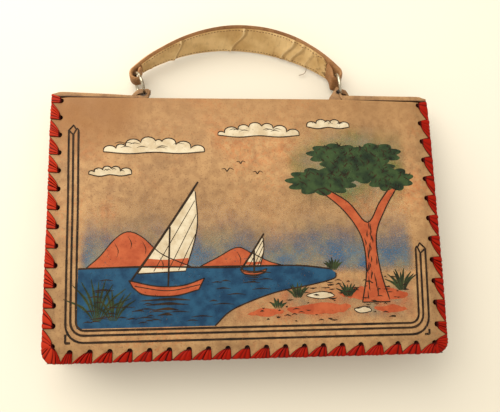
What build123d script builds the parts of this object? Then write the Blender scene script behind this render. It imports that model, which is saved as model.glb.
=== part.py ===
from build123d import *

import os
from math import asin, cos, degrees, hypot, radians, sin, tan

# A laced leather travel bag lying on its back, millimetres, +Z up from the table.
# X runs along the width, +Y points from the bag's bottom to its mouth and handle.
# The origin is the middle of the back panel's resting face.

# Panels: two leather sheets, skived thin along the three laced edges
panel_width = 280.0
panel_height = 190.0
panel_thickness = 3.0
seam_thickness = 1.8
seam_band = 10.0
corner_radius = 8.0
field_radius = 6.0
field_bevel = 0.8
bottom_depth = 42.0
mouth_depth = 26.0

# Border: three parallel grooves with a pointed end on each side
line_insets_left = (15.7, 18.9, 22.5)
line_insets_bottom = (14.3, 19.3, 23.1)
line_insets_right = (11.7, 15.6, 18.8)
line_radii = (12.0, 9.0, 6.0)
line_width = 1.2
line_depth = 0.4
left_tip_height = 166.0
right_tip_height = 83.0
tip_length = 11.0

# Bellows gusset: two folded sides and a bottom strip, flanges laced to the panels
gusset_thickness = 1.5
flange_width = 11.5
fold_past_ring = 2.5
fold_depth_bottom = 13.0
fold_height_mouth = 13.0
fold_gap_mouth = 5.0
fold_gap_bottom = 12.0
hem_rise = 4.2
hem_low_rise = 2.4
hem_slope_end = 9.0
ear_rise = 9.6
ear_shoulder = 13.0
ear_half_width = 7.0
trim_margin = 5.0
sheet_gap = 0.05
butt_gap = 0.5

# Lining, mouth facings and the press stud on them
lining_thickness = 0.8
lining_inset = 30.0
facing_thickness = 1.2
facing_height = 26.0
snap_radius = 6.0
snap_base_height = 1.0
snap_socket_height = 2.6
snap_stud_radius = 2.2
snap_stud_height = 2.0
snap_stud_round = 0.6
snap_recess_radius = 2.6
snap_recess_depth = 2.0
snap_drop = 13.0

# Lacing: one flat thong, each stitch a fan from its hole round the edge
lace_thickness = 1.1
lace_gap = 0.05
lace_radius = 1.3
hole_radius = 1.7
hole_sides = 8
hole_inset = 6.8
first_hole_drop = 2.6
left_corner_rise = 11.0
first_bottom_inset = 18.3
right_corner_inset = 9.3
first_right_rise = 19.7
left_stitches = 13
bottom_stitches = 20
right_stitches = 12
fan_neck_lead = 1.3
fan_neck_trail = 1.6
fan_neck_end = 1.9
fan_lead_share = 0.05
fan_trail_share = 0.92
corner_reach = 12.0

# Rings and the handle that hangs in them
ring_x = 76.0
ring_wire_radius = 1.1
ring_radius = 9.0
ear_hole_rise = 5.0
ear_slot_width = 2.8
ear_slot_length = 5.8
strap_thickness = 2.4
strap_half_width = 12.5
strap_end_half_width = 5.5
strap_lean_deg = 24.0
strap_rise_deg = 6.5
arch_half_angle_deg = 40.5
eye_radius = 3.6
eye_clearance = 0.4
eye_length = 10.5
eye_tip_share = 0.6
handle_lining_thickness = 1.2
handle_lining_margin = 1.6
handle_lining_gap = 0.05
lining_start_deg = 1.4
lining_torn_deg = 3.0

# Layout worked out from the sizes above
half_width = panel_width / 2
half_height = panel_height / 2
tilt = asin((bottom_depth - mouth_depth) / panel_height)
front_inner_height = (bottom_depth + mouth_depth) / 2 - panel_thickness
front_plane = Plane(
    origin=(0, 0, front_inner_height), x_dir=(1, 0, 0), z_dir=(0, sin(tilt), cos(tilt))
)
back_plane = Plane(origin=(0, 0, panel_thickness), x_dir=(-1, 0, 0), z_dir=(0, 0, -1))
flange_x = half_width - flange_width
lining_half_width = half_width - lining_inset
fold_depth_mouth = half_width - ring_x + fold_past_ring
stack_depth = gusset_thickness + 2 * sheet_gap


def between(low, high, share):
    return low + (high - low) * share


def front_height(y):
    """Height of the front panel's inner face at y."""
    return front_inner_height - tan(tilt) * y


def export(block, label):
    block.part.label = label
    export_step(block.part, f"parts/{label}.step")


os.makedirs("parts", exist_ok=True)


# Lace holes, in a panel's own plane as seen from outside, mouth at the top
def run_of_holes(start, end, count):
    return [
        (between(start[0], end[0], i / count), between(start[1], end[1], i / count))
        for i in range(count + 1)
    ]


hole_x = half_width - hole_inset
top_hole_y = half_height - first_hole_drop
bottom_hole_y = -half_height + hole_inset
left_corner = (-hole_x, -half_height + left_corner_rise)
right_corner = (half_width - right_corner_inset, bottom_hole_y)
left_run = run_of_holes((-hole_x, top_hole_y), left_corner, left_stitches)
first_bottom = (-half_width + first_bottom_inset, bottom_hole_y)
bottom_run = [left_corner] + run_of_holes(first_bottom, right_corner, bottom_stitches - 1)
first_right = (hole_x, -half_height + first_right_rise)
right_run = [right_corner] + run_of_holes(first_right, (hole_x, top_hole_y), right_stitches - 1)
lace_holes = left_run + bottom_run[1:] + right_run[1:]


# Front and back panel: the sheet, its thicker field, the holes, the front's border
def border_line(index):
    """One border line from the left point round the bottom to the right point."""
    left = -half_width + line_insets_left[index]
    right = half_width - line_insets_right[index]
    bottom = -half_height + line_insets_bottom[index]
    left_tip = (-half_width + line_insets_left[1], -half_height + left_tip_height)
    right_tip = (half_width - line_insets_right[1], -half_height + right_tip_height)
    corners = [
        left_tip,
        (left, left_tip[1] - tip_length),
        (left, bottom),
        (right, bottom),
        (right, right_tip[1] - tip_length),
        right_tip,
    ]
    if index == 1:
        corners = [left_tip, (left, bottom), (right, bottom), right_tip]
    return corners


def make_panel(plane, bordered):
    with BuildPart() as panel:
        with BuildSketch(plane) as outline:
            Rectangle(panel_width, panel_height)
            fillet(outline.vertices().group_by(Axis.Y)[0], corner_radius)
        extrude(amount=seam_thickness)
        with BuildSketch(plane) as field:
            with Locations((0, seam_band / 2)):
                Rectangle(panel_width - 2 * seam_band, panel_height - seam_band)
            fillet(field.vertices().group_by(Axis.Y)[0], field_radius)
        extrude(amount=panel_thickness)
        outward = Axis(plane.origin, plane.z_dir)
        face = panel.faces().sort_by(outward)[-1]
        mouth_edge = face.edges().sort_by(Axis.Y)[-1]
        chamfer([edge for edge in face.edges() if edge != mouth_edge], field_bevel)
        with BuildSketch(plane):
            with Locations(*lace_holes):
                RegularPolygon(hole_radius, hole_sides)
        extrude(amount=panel_thickness, mode=Mode.SUBTRACT)
        if bordered:
            for index, radius in enumerate(line_radii):
                with BuildSketch(plane.offset(panel_thickness)):
                    with BuildLine():
                        FilletPolyline(*border_line(index), radius=radius)
                    trace(line_width=line_width)
                extrude(amount=-line_depth, mode=Mode.SUBTRACT)
    return panel


front_panel = make_panel(front_plane, True)
export(front_panel, "front_panel")
back_panel = make_panel(back_plane, False)
export(back_panel, "back_panel")


# Side gussets: a sheet folded inward, deep at the mouth and shallow at the bottom
fold_bottom_y = -half_height + flange_width + butt_gap
fold_top_y = half_height + ear_rise
back_sheet_height = panel_thickness + sheet_gap + gusset_thickness / 2


def front_sheet_height(y):
    return front_height(y) - sheet_gap - gusset_thickness / 2


def fold_heights(y):
    """Heights of the two arms of the fold at its inner end."""
    share = (y - fold_bottom_y) / (half_height - fold_bottom_y)
    middle = (back_sheet_height + front_sheet_height(fold_bottom_y)) / 2
    low = between(middle - fold_gap_bottom / 2, fold_height_mouth, share)
    return low, low + between(fold_gap_bottom, fold_gap_mouth, share)


def fold_x(y):
    share = (y - fold_bottom_y) / (half_height - fold_bottom_y)
    return half_width - between(fold_depth_bottom, fold_depth_mouth, share)


def thick_line(path, thickness):
    """Outline of a sheet of even thickness whose middle follows the path."""
    normals = []
    for start, end in zip(path, path[1:]):
        dx, dy = end[0] - start[0], end[1] - start[1]
        normals.append((-dy / hypot(dx, dy), dx / hypot(dx, dy)))
    near_side, far_side = [], []
    for point, before, after in zip(path, normals[:1] + normals, normals + normals[-1:]):
        spread = 1 + before[0] * after[0] + before[1] * after[1]
        reach = thickness / 2 / spread
        step = ((before[0] + after[0]) * reach, (before[1] + after[1]) * reach)
        near_side.append((point[0] + step[0], point[1] + step[1]))
        far_side.append((point[0] - step[0], point[1] - step[1]))
    return near_side + far_side[::-1]


def fold_outline(y, side):
    low, high = fold_heights(y)
    path = [
        (half_width, back_sheet_height),
        (flange_x, back_sheet_height),
        (fold_x(y), low),
        (fold_x(y), high),
        (flange_x, front_sheet_height(y)),
        (half_width, front_sheet_height(y)),
    ]
    return [(side * x, z) for x, z in thick_line(path, gusset_thickness)]


ear_hole_y = half_height + ear_hole_rise
ring_share = (flange_x - ring_x) / (flange_x - fold_x(ear_hole_y))
ring_height = between(back_sheet_height, fold_heights(ear_hole_y)[0], ring_share)
split_height = fold_height_mouth + fold_gap_mouth / 2
trim_top = fold_top_y + trim_margin
trim_side = half_width + trim_margin
front_hem = [
    (trim_side, half_height + hem_rise),
    (ring_x + hem_slope_end, half_height + hem_low_rise),
    (fold_x(fold_top_y) - trim_margin, half_height + hem_low_rise),
    (fold_x(fold_top_y) - trim_margin, trim_top),
    (trim_side, trim_top),
]
back_hem = [
    (trim_side, half_height + hem_rise),
    (ring_x + ear_shoulder, half_height + hem_low_rise),
    (ring_x + ear_half_width, fold_top_y),
    (ring_x + ear_half_width, trim_top),
    (trim_side, trim_top),
]


def make_side_gusset(side):
    with BuildPart() as gusset:
        for y in (fold_bottom_y, fold_top_y):
            with BuildSketch(Plane(origin=(0, y, 0), x_dir=(1, 0, 0), z_dir=(0, -1, 0))):
                with BuildLine():
                    Polyline(*fold_outline(y, side), close=True)
                make_face()
        loft(ruled=True)
        for hem, direction in ((front_hem, 1), (back_hem, -1)):
            with BuildSketch(Plane.XY.offset(split_height)):
                with BuildLine():
                    Polyline(*[(side * x, y) for x, y in hem], close=True)
                make_face()
            extrude(amount=direction * bottom_depth, dir=(0, 0, 1), mode=Mode.SUBTRACT)
        with BuildSketch(Plane.XY.offset(split_height)):
            with Locations((side * ring_x, ear_hole_y)):
                SlotOverall(ear_slot_length, ear_slot_width, rotation=90)
        extrude(amount=-split_height, dir=(0, 0, 1), mode=Mode.SUBTRACT)
        for plane in (front_plane, back_plane):
            with BuildSketch(plane):
                with Locations(*lace_holes):
                    RegularPolygon(hole_radius, hole_sides)
            extrude(amount=-stack_depth, mode=Mode.SUBTRACT)
    return gusset


gusset_left = make_side_gusset(-1)
export(gusset_left, "gusset_left")
gusset_right = make_side_gusset(1)
export(gusset_right, "gusset_right")

# Bottom gusset: a strip with a flange against each panel, its ends round the corners
web_y = -half_height + flange_width
web_outline = [
    (web_y - gusset_thickness, back_sheet_height),
    (web_y, back_sheet_height),
    (web_y, front_sheet_height(web_y)),
    (web_y - gusset_thickness, front_sheet_height(web_y - gusset_thickness)),
]
with BuildPart() as gusset_bottom:
    with BuildSketch(Plane.YZ):
        with BuildLine():
            Polyline(*web_outline, close=True)
        make_face()
    extrude(amount=flange_x, both=True)
    for plane in (front_plane, back_plane):
        with BuildSketch(plane.offset(-sheet_gap)) as flange:
            with Locations((0, -half_height + flange_width / 2)):
                Rectangle(panel_width, flange_width)
            fillet(flange.vertices().group_by(Axis.Y)[0], corner_radius)
        extrude(amount=-gusset_thickness)
        with BuildSketch(plane):
            with Locations(*lace_holes):
                RegularPolygon(hole_radius, hole_sides)
        extrude(amount=-stack_depth, mode=Mode.SUBTRACT)
export(gusset_bottom, "gusset_bottom")


# Lacing: fans on both sides of the seam, joined round the edge and through the holes
def fan_corners(hole, along, outward, pitch, trail):
    edge = hole_inset + lace_thickness + lace_gap
    corners = (
        (fan_neck_lead, -fan_neck_end),
        (fan_lead_share * pitch, edge),
        (-trail, edge),
        (-fan_neck_trail, -fan_neck_end),
    )
    return [
        (hole[0] + a * along[0] + o * outward[0], hole[1] + a * along[1] + o * outward[1])
        for a, o in corners
    ]


def pitch_of(holes):
    return hypot(holes[2][0] - holes[1][0], holes[2][1] - holes[1][1])


def run_of_fans(holes, along, outward, first_trail):
    pitch = pitch_of(holes)
    trails = [first_trail] + [fan_trail_share * pitch] * (len(holes) - 2)
    return [fan_corners(hole, along, outward, pitch, trail) for hole, trail in zip(holes[1:], trails)]


left_pitch = pitch_of(left_run)
fans = [fan_corners(left_run[0], (0, -1), (-1, 0), left_pitch, first_hole_drop)]
fans += run_of_fans(left_run, (0, -1), (-1, 0), fan_trail_share * left_pitch)
fans += run_of_fans(bottom_run, (1, 0), (0, -1), first_bottom_inset - corner_reach - butt_gap)
fans += run_of_fans(right_run, (0, 1), (1, 0), first_right_rise - corner_reach - butt_gap)
corner_bend = corner_radius + lace_thickness + lace_gap
corner_lead = fan_lead_share * left_pitch + butt_gap


def corner_fan(hole, side):
    """The wide fan that turns a bottom corner: its neck, its start beside the hole, arc and end."""
    middle = (side * (half_width - corner_radius), -half_height + corner_radius)
    start_deg = 180 if side < 0 else 270
    arc = [
        (
            middle[0] + corner_bend * cos(radians(start_deg + turn_deg)),
            middle[1] + corner_bend * sin(radians(start_deg + turn_deg)),
        )
        for turn_deg in (0, 45, 90)
    ]
    if side < 0:
        start = (arc[0][0], hole[1] - corner_lead)
        end = (-half_width + corner_reach, arc[-1][1])
    else:
        start = (hole[0] + corner_lead, arc[0][1])
        end = (arc[-1][0], -half_height + corner_reach)
    neck = (hole[0] - side * fan_neck_end, hole[1] + fan_neck_end)
    return neck, start, arc, end


def make_lacing(plane):
    outer = seam_thickness + lace_gap
    depth = outer + stack_depth + lace_gap
    with BuildPart() as lacing:
        with BuildSketch(plane.offset(outer + lace_thickness)):
            for corners in fans:
                with BuildLine():
                    Polyline(*corners, close=True)
                make_face()
            for hole, side in ((bottom_run[0], -1), (bottom_run[-1], 1)):
                neck, start, arc, end = corner_fan(hole, side)
                with BuildLine():
                    Polyline(end, neck, start, arc[0])
                    ThreePointArc(*arc)
                    Line(arc[-1], end)
                make_face()
        extrude(amount=-(depth + 2 * lace_thickness))
        with BuildSketch(plane.offset(outer)) as wrapped:
            Rectangle(panel_width + 2 * lace_gap, panel_height + 2 * lace_gap)
            fillet(wrapped.vertices().group_by(Axis.Y)[0], corner_radius)
        extrude(amount=-depth, mode=Mode.SUBTRACT)
        with BuildSketch(plane.offset(outer)):
            with Locations(*lace_holes):
                RegularPolygon(lace_radius, hole_sides)
        extrude(amount=-depth)
    return lacing


lacing_front = make_lacing(front_plane)
export(lacing_front, "lacing_front")
lacing_back = make_lacing(back_plane)
export(lacing_back, "lacing_back")


# Lining and mouth facing, flat on each panel's inner face
def make_inner_sheet(plane, low, high, thickness):
    with BuildPart() as sheet:
        with BuildSketch(plane):
            with Locations((0, (low + high) / 2)):
                Rectangle(2 * lining_half_width, high - low)
        extrude(amount=-thickness)
    return sheet


lining_low = -half_height + flange_width + butt_gap
facing_low = half_height - facing_height
front_lining = make_inner_sheet(front_plane, lining_low, facing_low, lining_thickness)
export(front_lining, "front_lining")
back_lining = make_inner_sheet(back_plane, lining_low, facing_low, lining_thickness)
export(back_lining, "back_lining")
front_facing = make_inner_sheet(front_plane, facing_low, half_height, facing_thickness)
export(front_facing, "front_facing")
back_facing = make_inner_sheet(back_plane, facing_low, half_height, facing_thickness)
export(back_facing, "back_facing")

# Press stud: the socket on the front facing, the stud on the back facing
with BuildPart() as snap_socket:
    with BuildSketch(front_plane.offset(-facing_thickness)):
        with Locations((0, half_height - snap_drop)):
            Circle(snap_radius)
    extrude(amount=-snap_socket_height)
    with BuildSketch(front_plane.offset(-facing_thickness - snap_socket_height)):
        with Locations((0, half_height - snap_drop)):
            Circle(snap_recess_radius)
    extrude(amount=snap_recess_depth, mode=Mode.SUBTRACT)
export(snap_socket, "snap_socket")

with BuildPart() as snap_stud:
    with BuildSketch(back_plane.offset(-facing_thickness)):
        with Locations((0, half_height - snap_drop)):
            Circle(snap_radius)
    extrude(amount=-snap_base_height)
    with BuildSketch(back_plane.offset(-facing_thickness - snap_base_height)):
        with Locations((0, half_height - snap_drop)):
            Circle(snap_stud_radius)
    extrude(amount=-snap_stud_height)
    fillet(snap_stud.faces().sort_by(Axis.Z)[-1].edges(), snap_stud_round)
export(snap_stud, "snap_stud")

# Rings: steel wire through the ear of each side gusset
ring_y = ear_hole_y + ring_radius


def make_ring(side):
    with BuildPart() as ring:
        with BuildSketch(Plane(origin=(side * ring_x, ring_y, ring_height))):
            with Locations((0, ring_radius)):
                Circle(ring_wire_radius)
        revolve(axis=Axis((side * ring_x, ring_y, ring_height), (1, 0, 0)))
    return ring


ring_left = make_ring(-1)
export(ring_left, "ring_left")
ring_right = make_ring(1)
export(ring_right, "ring_right")

# Handle: an arched strap with an eye round each ring, leaning so its lining faces up
lean = radians(strap_lean_deg)
rise = radians(strap_rise_deg)
eye_sag = ring_radius - (ring_radius**2 - strap_end_half_width**2) ** 0.5
eye_reach = ring_radius - eye_sag / 2
arch_plane = Plane(
    origin=(0, ring_y + eye_reach * cos(lean), ring_height - eye_reach * sin(lean)),
    x_dir=(1, 0, 0),
    z_dir=(0, -sin(rise), cos(rise)),
)
width_plane = Plane(
    origin=arch_plane.origin, x_dir=(1, 0, 0), z_dir=(0, -cos(rise), -sin(rise))
)
strap_direction = (0, sin(lean), cos(lean))
width_scale = cos(lean + rise)
arch_half_angle = radians(arch_half_angle_deg)
eye_middle_radius = eye_radius + strap_thickness / 2
eye_distance = ring_x / sin(arch_half_angle)
arch_radius = eye_distance + eye_middle_radius
arch_middle = (0, -eye_distance * cos(arch_half_angle))
eye_half_turn = eye_length / arch_radius


def arch_point(angle, radius):
    """Point of the arch's plane at an angle from its top."""
    return radius * sin(angle), arch_middle[1] + radius * cos(angle)


def arch_arc(start, end, radius):
    return [arch_point(angle, radius) for angle in (start, (start + end) / 2, end)]


def width_outline(middle_half, end_half):
    """Two bowed edges and two ends of a strap, wide in its middle."""
    end_x = ring_x + eye_middle_radius + strap_thickness
    middle, end = middle_half * width_scale, end_half * width_scale
    return [(-end_x, end), (0, middle), (end_x, end)], [(end_x, -end), (0, -middle), (-end_x, -end)]


with BuildPart() as handle_strap:
    with BuildSketch(arch_plane):
        with BuildLine():
            ThreePointArc(*arch_arc(-arch_half_angle, arch_half_angle, arch_radius))
        trace(line_width=strap_thickness)
        for side in (-1, 1):
            fold_angle = side * (arch_half_angle - eye_half_turn)
            fold_end = arch_point(fold_angle, arch_radius - strap_thickness / 2)
            tip_angle = side * (arch_half_angle - eye_half_turn * eye_tip_share)
            tip = arch_point(tip_angle, arch_radius - strap_thickness)
            with BuildSketch(mode=Mode.PRIVATE) as eye_outside:
                with Locations((side * ring_x, 0)):
                    Circle(eye_radius + strap_thickness)
                with Locations(fold_end):
                    Circle(strap_thickness)
                make_hull()
            with BuildSketch(mode=Mode.PRIVATE) as eye_inside:
                with Locations((side * ring_x, 0)):
                    Circle(eye_radius)
                with Locations(tip):
                    Circle(strap_thickness / 4)
                make_hull()
            add(eye_outside.sketch)
            add(eye_inside.sketch, mode=Mode.SUBTRACT)
    extrude(amount=2 * strap_half_width, dir=strap_direction, both=True)
    upper, lower = width_outline(strap_half_width, strap_end_half_width)
    with BuildSketch(width_plane):
        with BuildLine():
            ThreePointArc(*upper)
            Line(upper[-1], lower[0])
            ThreePointArc(*lower)
            Line(lower[-1], upper[0])
        make_face()
    extrude(amount=panel_height, both=True, mode=Mode.INTERSECT)
    for side in (-1, 1):
        with BuildSketch(Plane(origin=(side * ring_x, ring_y, ring_height))):
            with Locations((0, ring_radius)):
                Circle(ring_wire_radius + eye_clearance)
        revolve(axis=Axis((side * ring_x, ring_y, ring_height), (1, 0, 0)), mode=Mode.SUBTRACT)
export(handle_strap, "handle_strap")

lining_radius = arch_radius - (strap_thickness + handle_lining_thickness) / 2 - handle_lining_gap
lining_left = arch_half_angle - eye_half_turn - radians(lining_start_deg)
lining_right = arch_half_angle - eye_half_turn - radians(lining_torn_deg)
with BuildPart() as handle_lining:
    with BuildSketch(arch_plane):
        with BuildLine():
            ThreePointArc(*arch_arc(-lining_left, lining_right, lining_radius))
        trace(line_width=handle_lining_thickness)
    extrude(amount=2 * strap_half_width, dir=strap_direction, both=True)
    upper, lower = width_outline(
        strap_half_width - handle_lining_margin, strap_end_half_width - handle_lining_margin
    )
    with BuildSketch(width_plane):
        with BuildLine():
            ThreePointArc(*upper)
            Line(upper[-1], lower[0])
            ThreePointArc(*lower)
            Line(lower[-1], upper[0])
        make_face()
    extrude(amount=panel_height, both=True, mode=Mode.INTERSECT)
export(handle_lining, "handle_lining")
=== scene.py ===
import math
import random

import bmesh
import bpy
from mathutils import Matrix, Vector, noise


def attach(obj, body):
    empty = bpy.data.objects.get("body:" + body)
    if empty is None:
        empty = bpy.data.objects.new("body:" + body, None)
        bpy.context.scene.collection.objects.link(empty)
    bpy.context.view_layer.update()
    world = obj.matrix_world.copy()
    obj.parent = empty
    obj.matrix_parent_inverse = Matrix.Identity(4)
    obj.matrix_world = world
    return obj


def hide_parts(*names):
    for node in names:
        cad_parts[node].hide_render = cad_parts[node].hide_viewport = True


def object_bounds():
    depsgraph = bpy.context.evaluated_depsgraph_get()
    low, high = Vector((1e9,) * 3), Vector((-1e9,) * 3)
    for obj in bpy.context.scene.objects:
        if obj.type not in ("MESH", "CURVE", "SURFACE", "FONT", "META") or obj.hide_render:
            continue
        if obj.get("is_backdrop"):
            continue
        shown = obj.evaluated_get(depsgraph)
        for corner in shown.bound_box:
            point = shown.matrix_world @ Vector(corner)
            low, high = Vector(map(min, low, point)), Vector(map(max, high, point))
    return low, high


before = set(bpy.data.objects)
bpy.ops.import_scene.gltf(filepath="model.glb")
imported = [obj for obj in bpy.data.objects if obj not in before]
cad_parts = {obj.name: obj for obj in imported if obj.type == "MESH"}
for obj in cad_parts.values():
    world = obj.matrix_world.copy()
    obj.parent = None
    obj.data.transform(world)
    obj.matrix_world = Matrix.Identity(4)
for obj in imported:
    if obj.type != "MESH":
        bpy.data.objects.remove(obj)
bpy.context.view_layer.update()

# Front panel
# A hide of vegetable-tanned leather, skived thin along its three laced edges and punched for
# the lace. It swells over the filled bag and is mottled and stained with age.
mm = 0.001
panel_width, panel_height = 280 * mm, 190 * mm
panel_thickness, seam_thickness = 3.0 * mm, 1.8 * mm
corner_radius = 8 * mm
bottom_depth, mouth_depth = 42 * mm, 26 * mm
skive_start, skive_end = 6.5 * mm, 12 * mm
belly = 4 * mm
mouth_spread_share, sag_start_share, right_corner_drop = 0.012, 0.4, 1.8 * mm
ripple, ripples_per_metre = 0.20 * mm, 26
panel_columns, panel_rows = 150, 100
cut_edge_round, cut_edge_segments, cut_edge_shape = 0.7 * mm, 3, 0.5
grain_depth, hide_crease_deg = 0.22 * mm, 38
hole_radius, hole_inset, first_hole_drop = 1.9 * mm, 6.8 * mm, 2.6 * mm
left_corner_rise, first_bottom_inset = 11 * mm, 18.3 * mm
right_corner_inset, first_right_rise = 9.3 * mm, 19.7 * mm
left_stitches, bottom_stitches, right_stitches = 13, 20, 12
punch_depth, punch_sides = 12 * mm, 14
unit_half = 0.5

half_width, half_height = panel_width / 2, panel_height / 2
tilt = math.asin((bottom_depth - mouth_depth) / panel_height)
front_height = (bottom_depth + mouth_depth) / 2 - panel_thickness
front_turn, flat_turn = Matrix.Rotation(-tilt, 4, "X"), Matrix()
front_rest = Matrix.Translation((0, 0, front_height)) @ front_turn


def smooth_step(low, high, value):
    share = min(max((value - low) / (high - low), 0), 1)
    return share * share * (3 - 2 * share)


def at_mouth(x, y):
    """Where a point lies once the mouth has spread and its right corner has sagged."""
    upper = smooth_step(0, half_height, y)
    drop = right_corner_drop * upper * smooth_step(half_width * sag_start_share, half_width, x)
    return x * (1 + mouth_spread_share * upper), y - drop


def on_front(x, y, lift):
    """A point of the swollen front panel, lift above its inner face."""
    swell = belly * (1 - (y / half_height) ** 2)
    return front_rest @ Vector((*at_mouth(x, y), lift + swell))


def hide_lift(x, y):
    """Thickness of a hide that is skived towards its laced edges."""
    edge = min(half_width - abs(x), half_height + y)
    field = smooth_step(skive_start, skive_end, edge)
    wave = ripple * noise.noise(Vector((x, y, 0)) * ripples_per_metre) * field
    return seam_thickness + (panel_thickness - seam_thickness) * field + wave


def round_corner(x, y):
    """Moves a point of a square sheet into the rounded bottom corners."""
    across = (abs(x) - half_width) / corner_radius + 1
    down = (-y - half_height) / corner_radius + 1
    if across <= 0 or down <= 0:
        return x, y
    reach_x = across * math.sqrt(1 - down * down / 2) - 1
    reach_y = down * math.sqrt(1 - across * across / 2) - 1
    return math.copysign(half_width + corner_radius * reach_x, x), -half_height - corner_radius * reach_y


def between(low, high, share):
    return low + (high - low) * share


def flat_grid(columns, rows):
    """A square sheet of side 1 round the origin."""
    bm = bmesh.new()
    bmesh.ops.create_grid(bm, x_segments=columns, y_segments=rows, size=unit_half)
    return bm


def face_outward(bm):
    bmesh.ops.recalc_face_normals(bm, faces=bm.faces[:])


def close_up(bm):
    """Fills the open ends of a mesh and turns its faces outward."""
    bmesh.ops.holes_fill(bm, edges=[edge for edge in bm.edges if edge.is_boundary])
    face_outward(bm)


def doubled(bm):
    """Extrudes a sheet in place and gives the vertices of its new face."""
    lifted = bmesh.ops.extrude_face_region(bm, geom=bm.faces[:], use_keep_orig=True)["geom"]
    return {part for part in lifted if isinstance(part, bmesh.types.BMVert)}


def leather_panel(place):
    """A hide with its inner face flat on the bag and its outer face lifted."""
    bm = flat_grid(panel_columns, panel_rows)
    outer = doubled(bm)
    last_row = {vert for vert in outer if vert.co.y > unit_half - unit_half / panel_rows}
    top_edge = [edge for edge in bm.edges if all(vert in last_row for vert in edge.verts)]
    for vert in bm.verts:
        x, y = round_corner(vert.co.x * panel_width, vert.co.y * panel_height)
        vert.co = place(x, y, hide_lift(x, y) if vert in outer else 0)
    face_outward(bm)
    bmesh.ops.bevel(
        bm,
        geom=top_edge,
        offset=cut_edge_round,
        segments=cut_edge_segments,
        profile=cut_edge_shape,
        affect="EDGES",
        material=-1,
    )
    return bm


def shade(mesh, crease_deg):
    mesh.shade_smooth()
    mesh.set_sharp_from_angle(angle=math.radians(crease_deg))


def add_object(name, data):
    made = bpy.data.objects.new(name, data)
    bpy.context.collection.objects.link(made)
    return made


def add_piece(name, bm, finish, crease_deg=hide_crease_deg):
    """A smooth-shaded object at the origin, made from a bmesh."""
    mesh = bpy.data.meshes.new(name)
    bm.to_mesh(mesh)
    bm.free()
    mesh.materials.append(finish.material)
    shade(mesh, crease_deg)
    return add_object(name, mesh)


def punch(piece, cutters, crease_deg=hide_crease_deg):
    """Cuts closed shapes out of a finished piece."""
    mesh = bpy.data.meshes.new("punch")
    cutters.to_mesh(mesh)
    cutters.free()
    tool = add_object("punch", mesh)
    cut = piece.modifiers.new("punch", "BOOLEAN")
    cut.operation = "DIFFERENCE"
    cut.solver = "EXACT"
    cut.object = tool
    depsgraph = bpy.context.evaluated_depsgraph_get()
    punched = bpy.data.meshes.new_from_object(piece.evaluated_get(depsgraph))
    piece.modifiers.clear()
    piece.data = punched
    shade(punched, crease_deg)
    bpy.data.objects.remove(tool)


def run_of_holes(start, end, count):
    return [start.lerp(end, step / count) for step in range(count + 1)]


hole_x = half_width - hole_inset
top_hole_y, bottom_hole_y = half_height - first_hole_drop, -half_height + hole_inset
left_corner = Vector((-hole_x, -half_height + left_corner_rise))
right_corner = Vector((half_width - right_corner_inset, bottom_hole_y))
first_bottom = Vector((-half_width + first_bottom_inset, bottom_hole_y))
first_right = Vector((hole_x, -half_height + first_right_rise))
left_holes = run_of_holes(Vector((-hole_x, top_hole_y)), left_corner, left_stitches)
bottom_holes = [left_corner] + run_of_holes(first_bottom, right_corner, bottom_stitches - 1)
right_holes = [right_corner] + run_of_holes(first_right, Vector((hole_x, top_hole_y)), right_stitches - 1)
lace_holes = left_holes + bottom_holes[1:] + right_holes[1:]


def add_cutter(bm, radius, depth, stand):
    bmesh.ops.create_cone(
        bm, cap_ends=True, segments=punch_sides, radius1=radius, radius2=radius, depth=depth, matrix=stand
    )


def hole_cutters(place, turn, radius):
    bm = bmesh.new()
    for hole in lace_holes:
        add_cutter(bm, radius, punch_depth, Matrix.Translation(place(hole.x, hole.y, 0)) @ turn)
    return bm


class Value:
    """A shader socket; an expression on it adds Math nodes."""

    def __init__(self, finish, socket):
        self.finish = finish
        self.socket = socket

    def math(self, operation, first, second):
        return self.finish.node("ShaderNodeMath", {"operation": operation}, {0: first, 1: second})

    def __add__(self, other):
        return self.math("ADD", self, other)

    def __radd__(self, other):
        return self.math("ADD", other, self)

    def __sub__(self, other):
        return self.math("SUBTRACT", self, other)

    def __rsub__(self, other):
        return self.math("SUBTRACT", other, self)

    def __mul__(self, other):
        return self.math("MULTIPLY", self, other)

    def __rmul__(self, other):
        return self.math("MULTIPLY", other, self)

    def __truediv__(self, other):
        return self.math("DIVIDE", self, other)

    def __pow__(self, other):
        return self.math("POWER", self, other)


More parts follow.
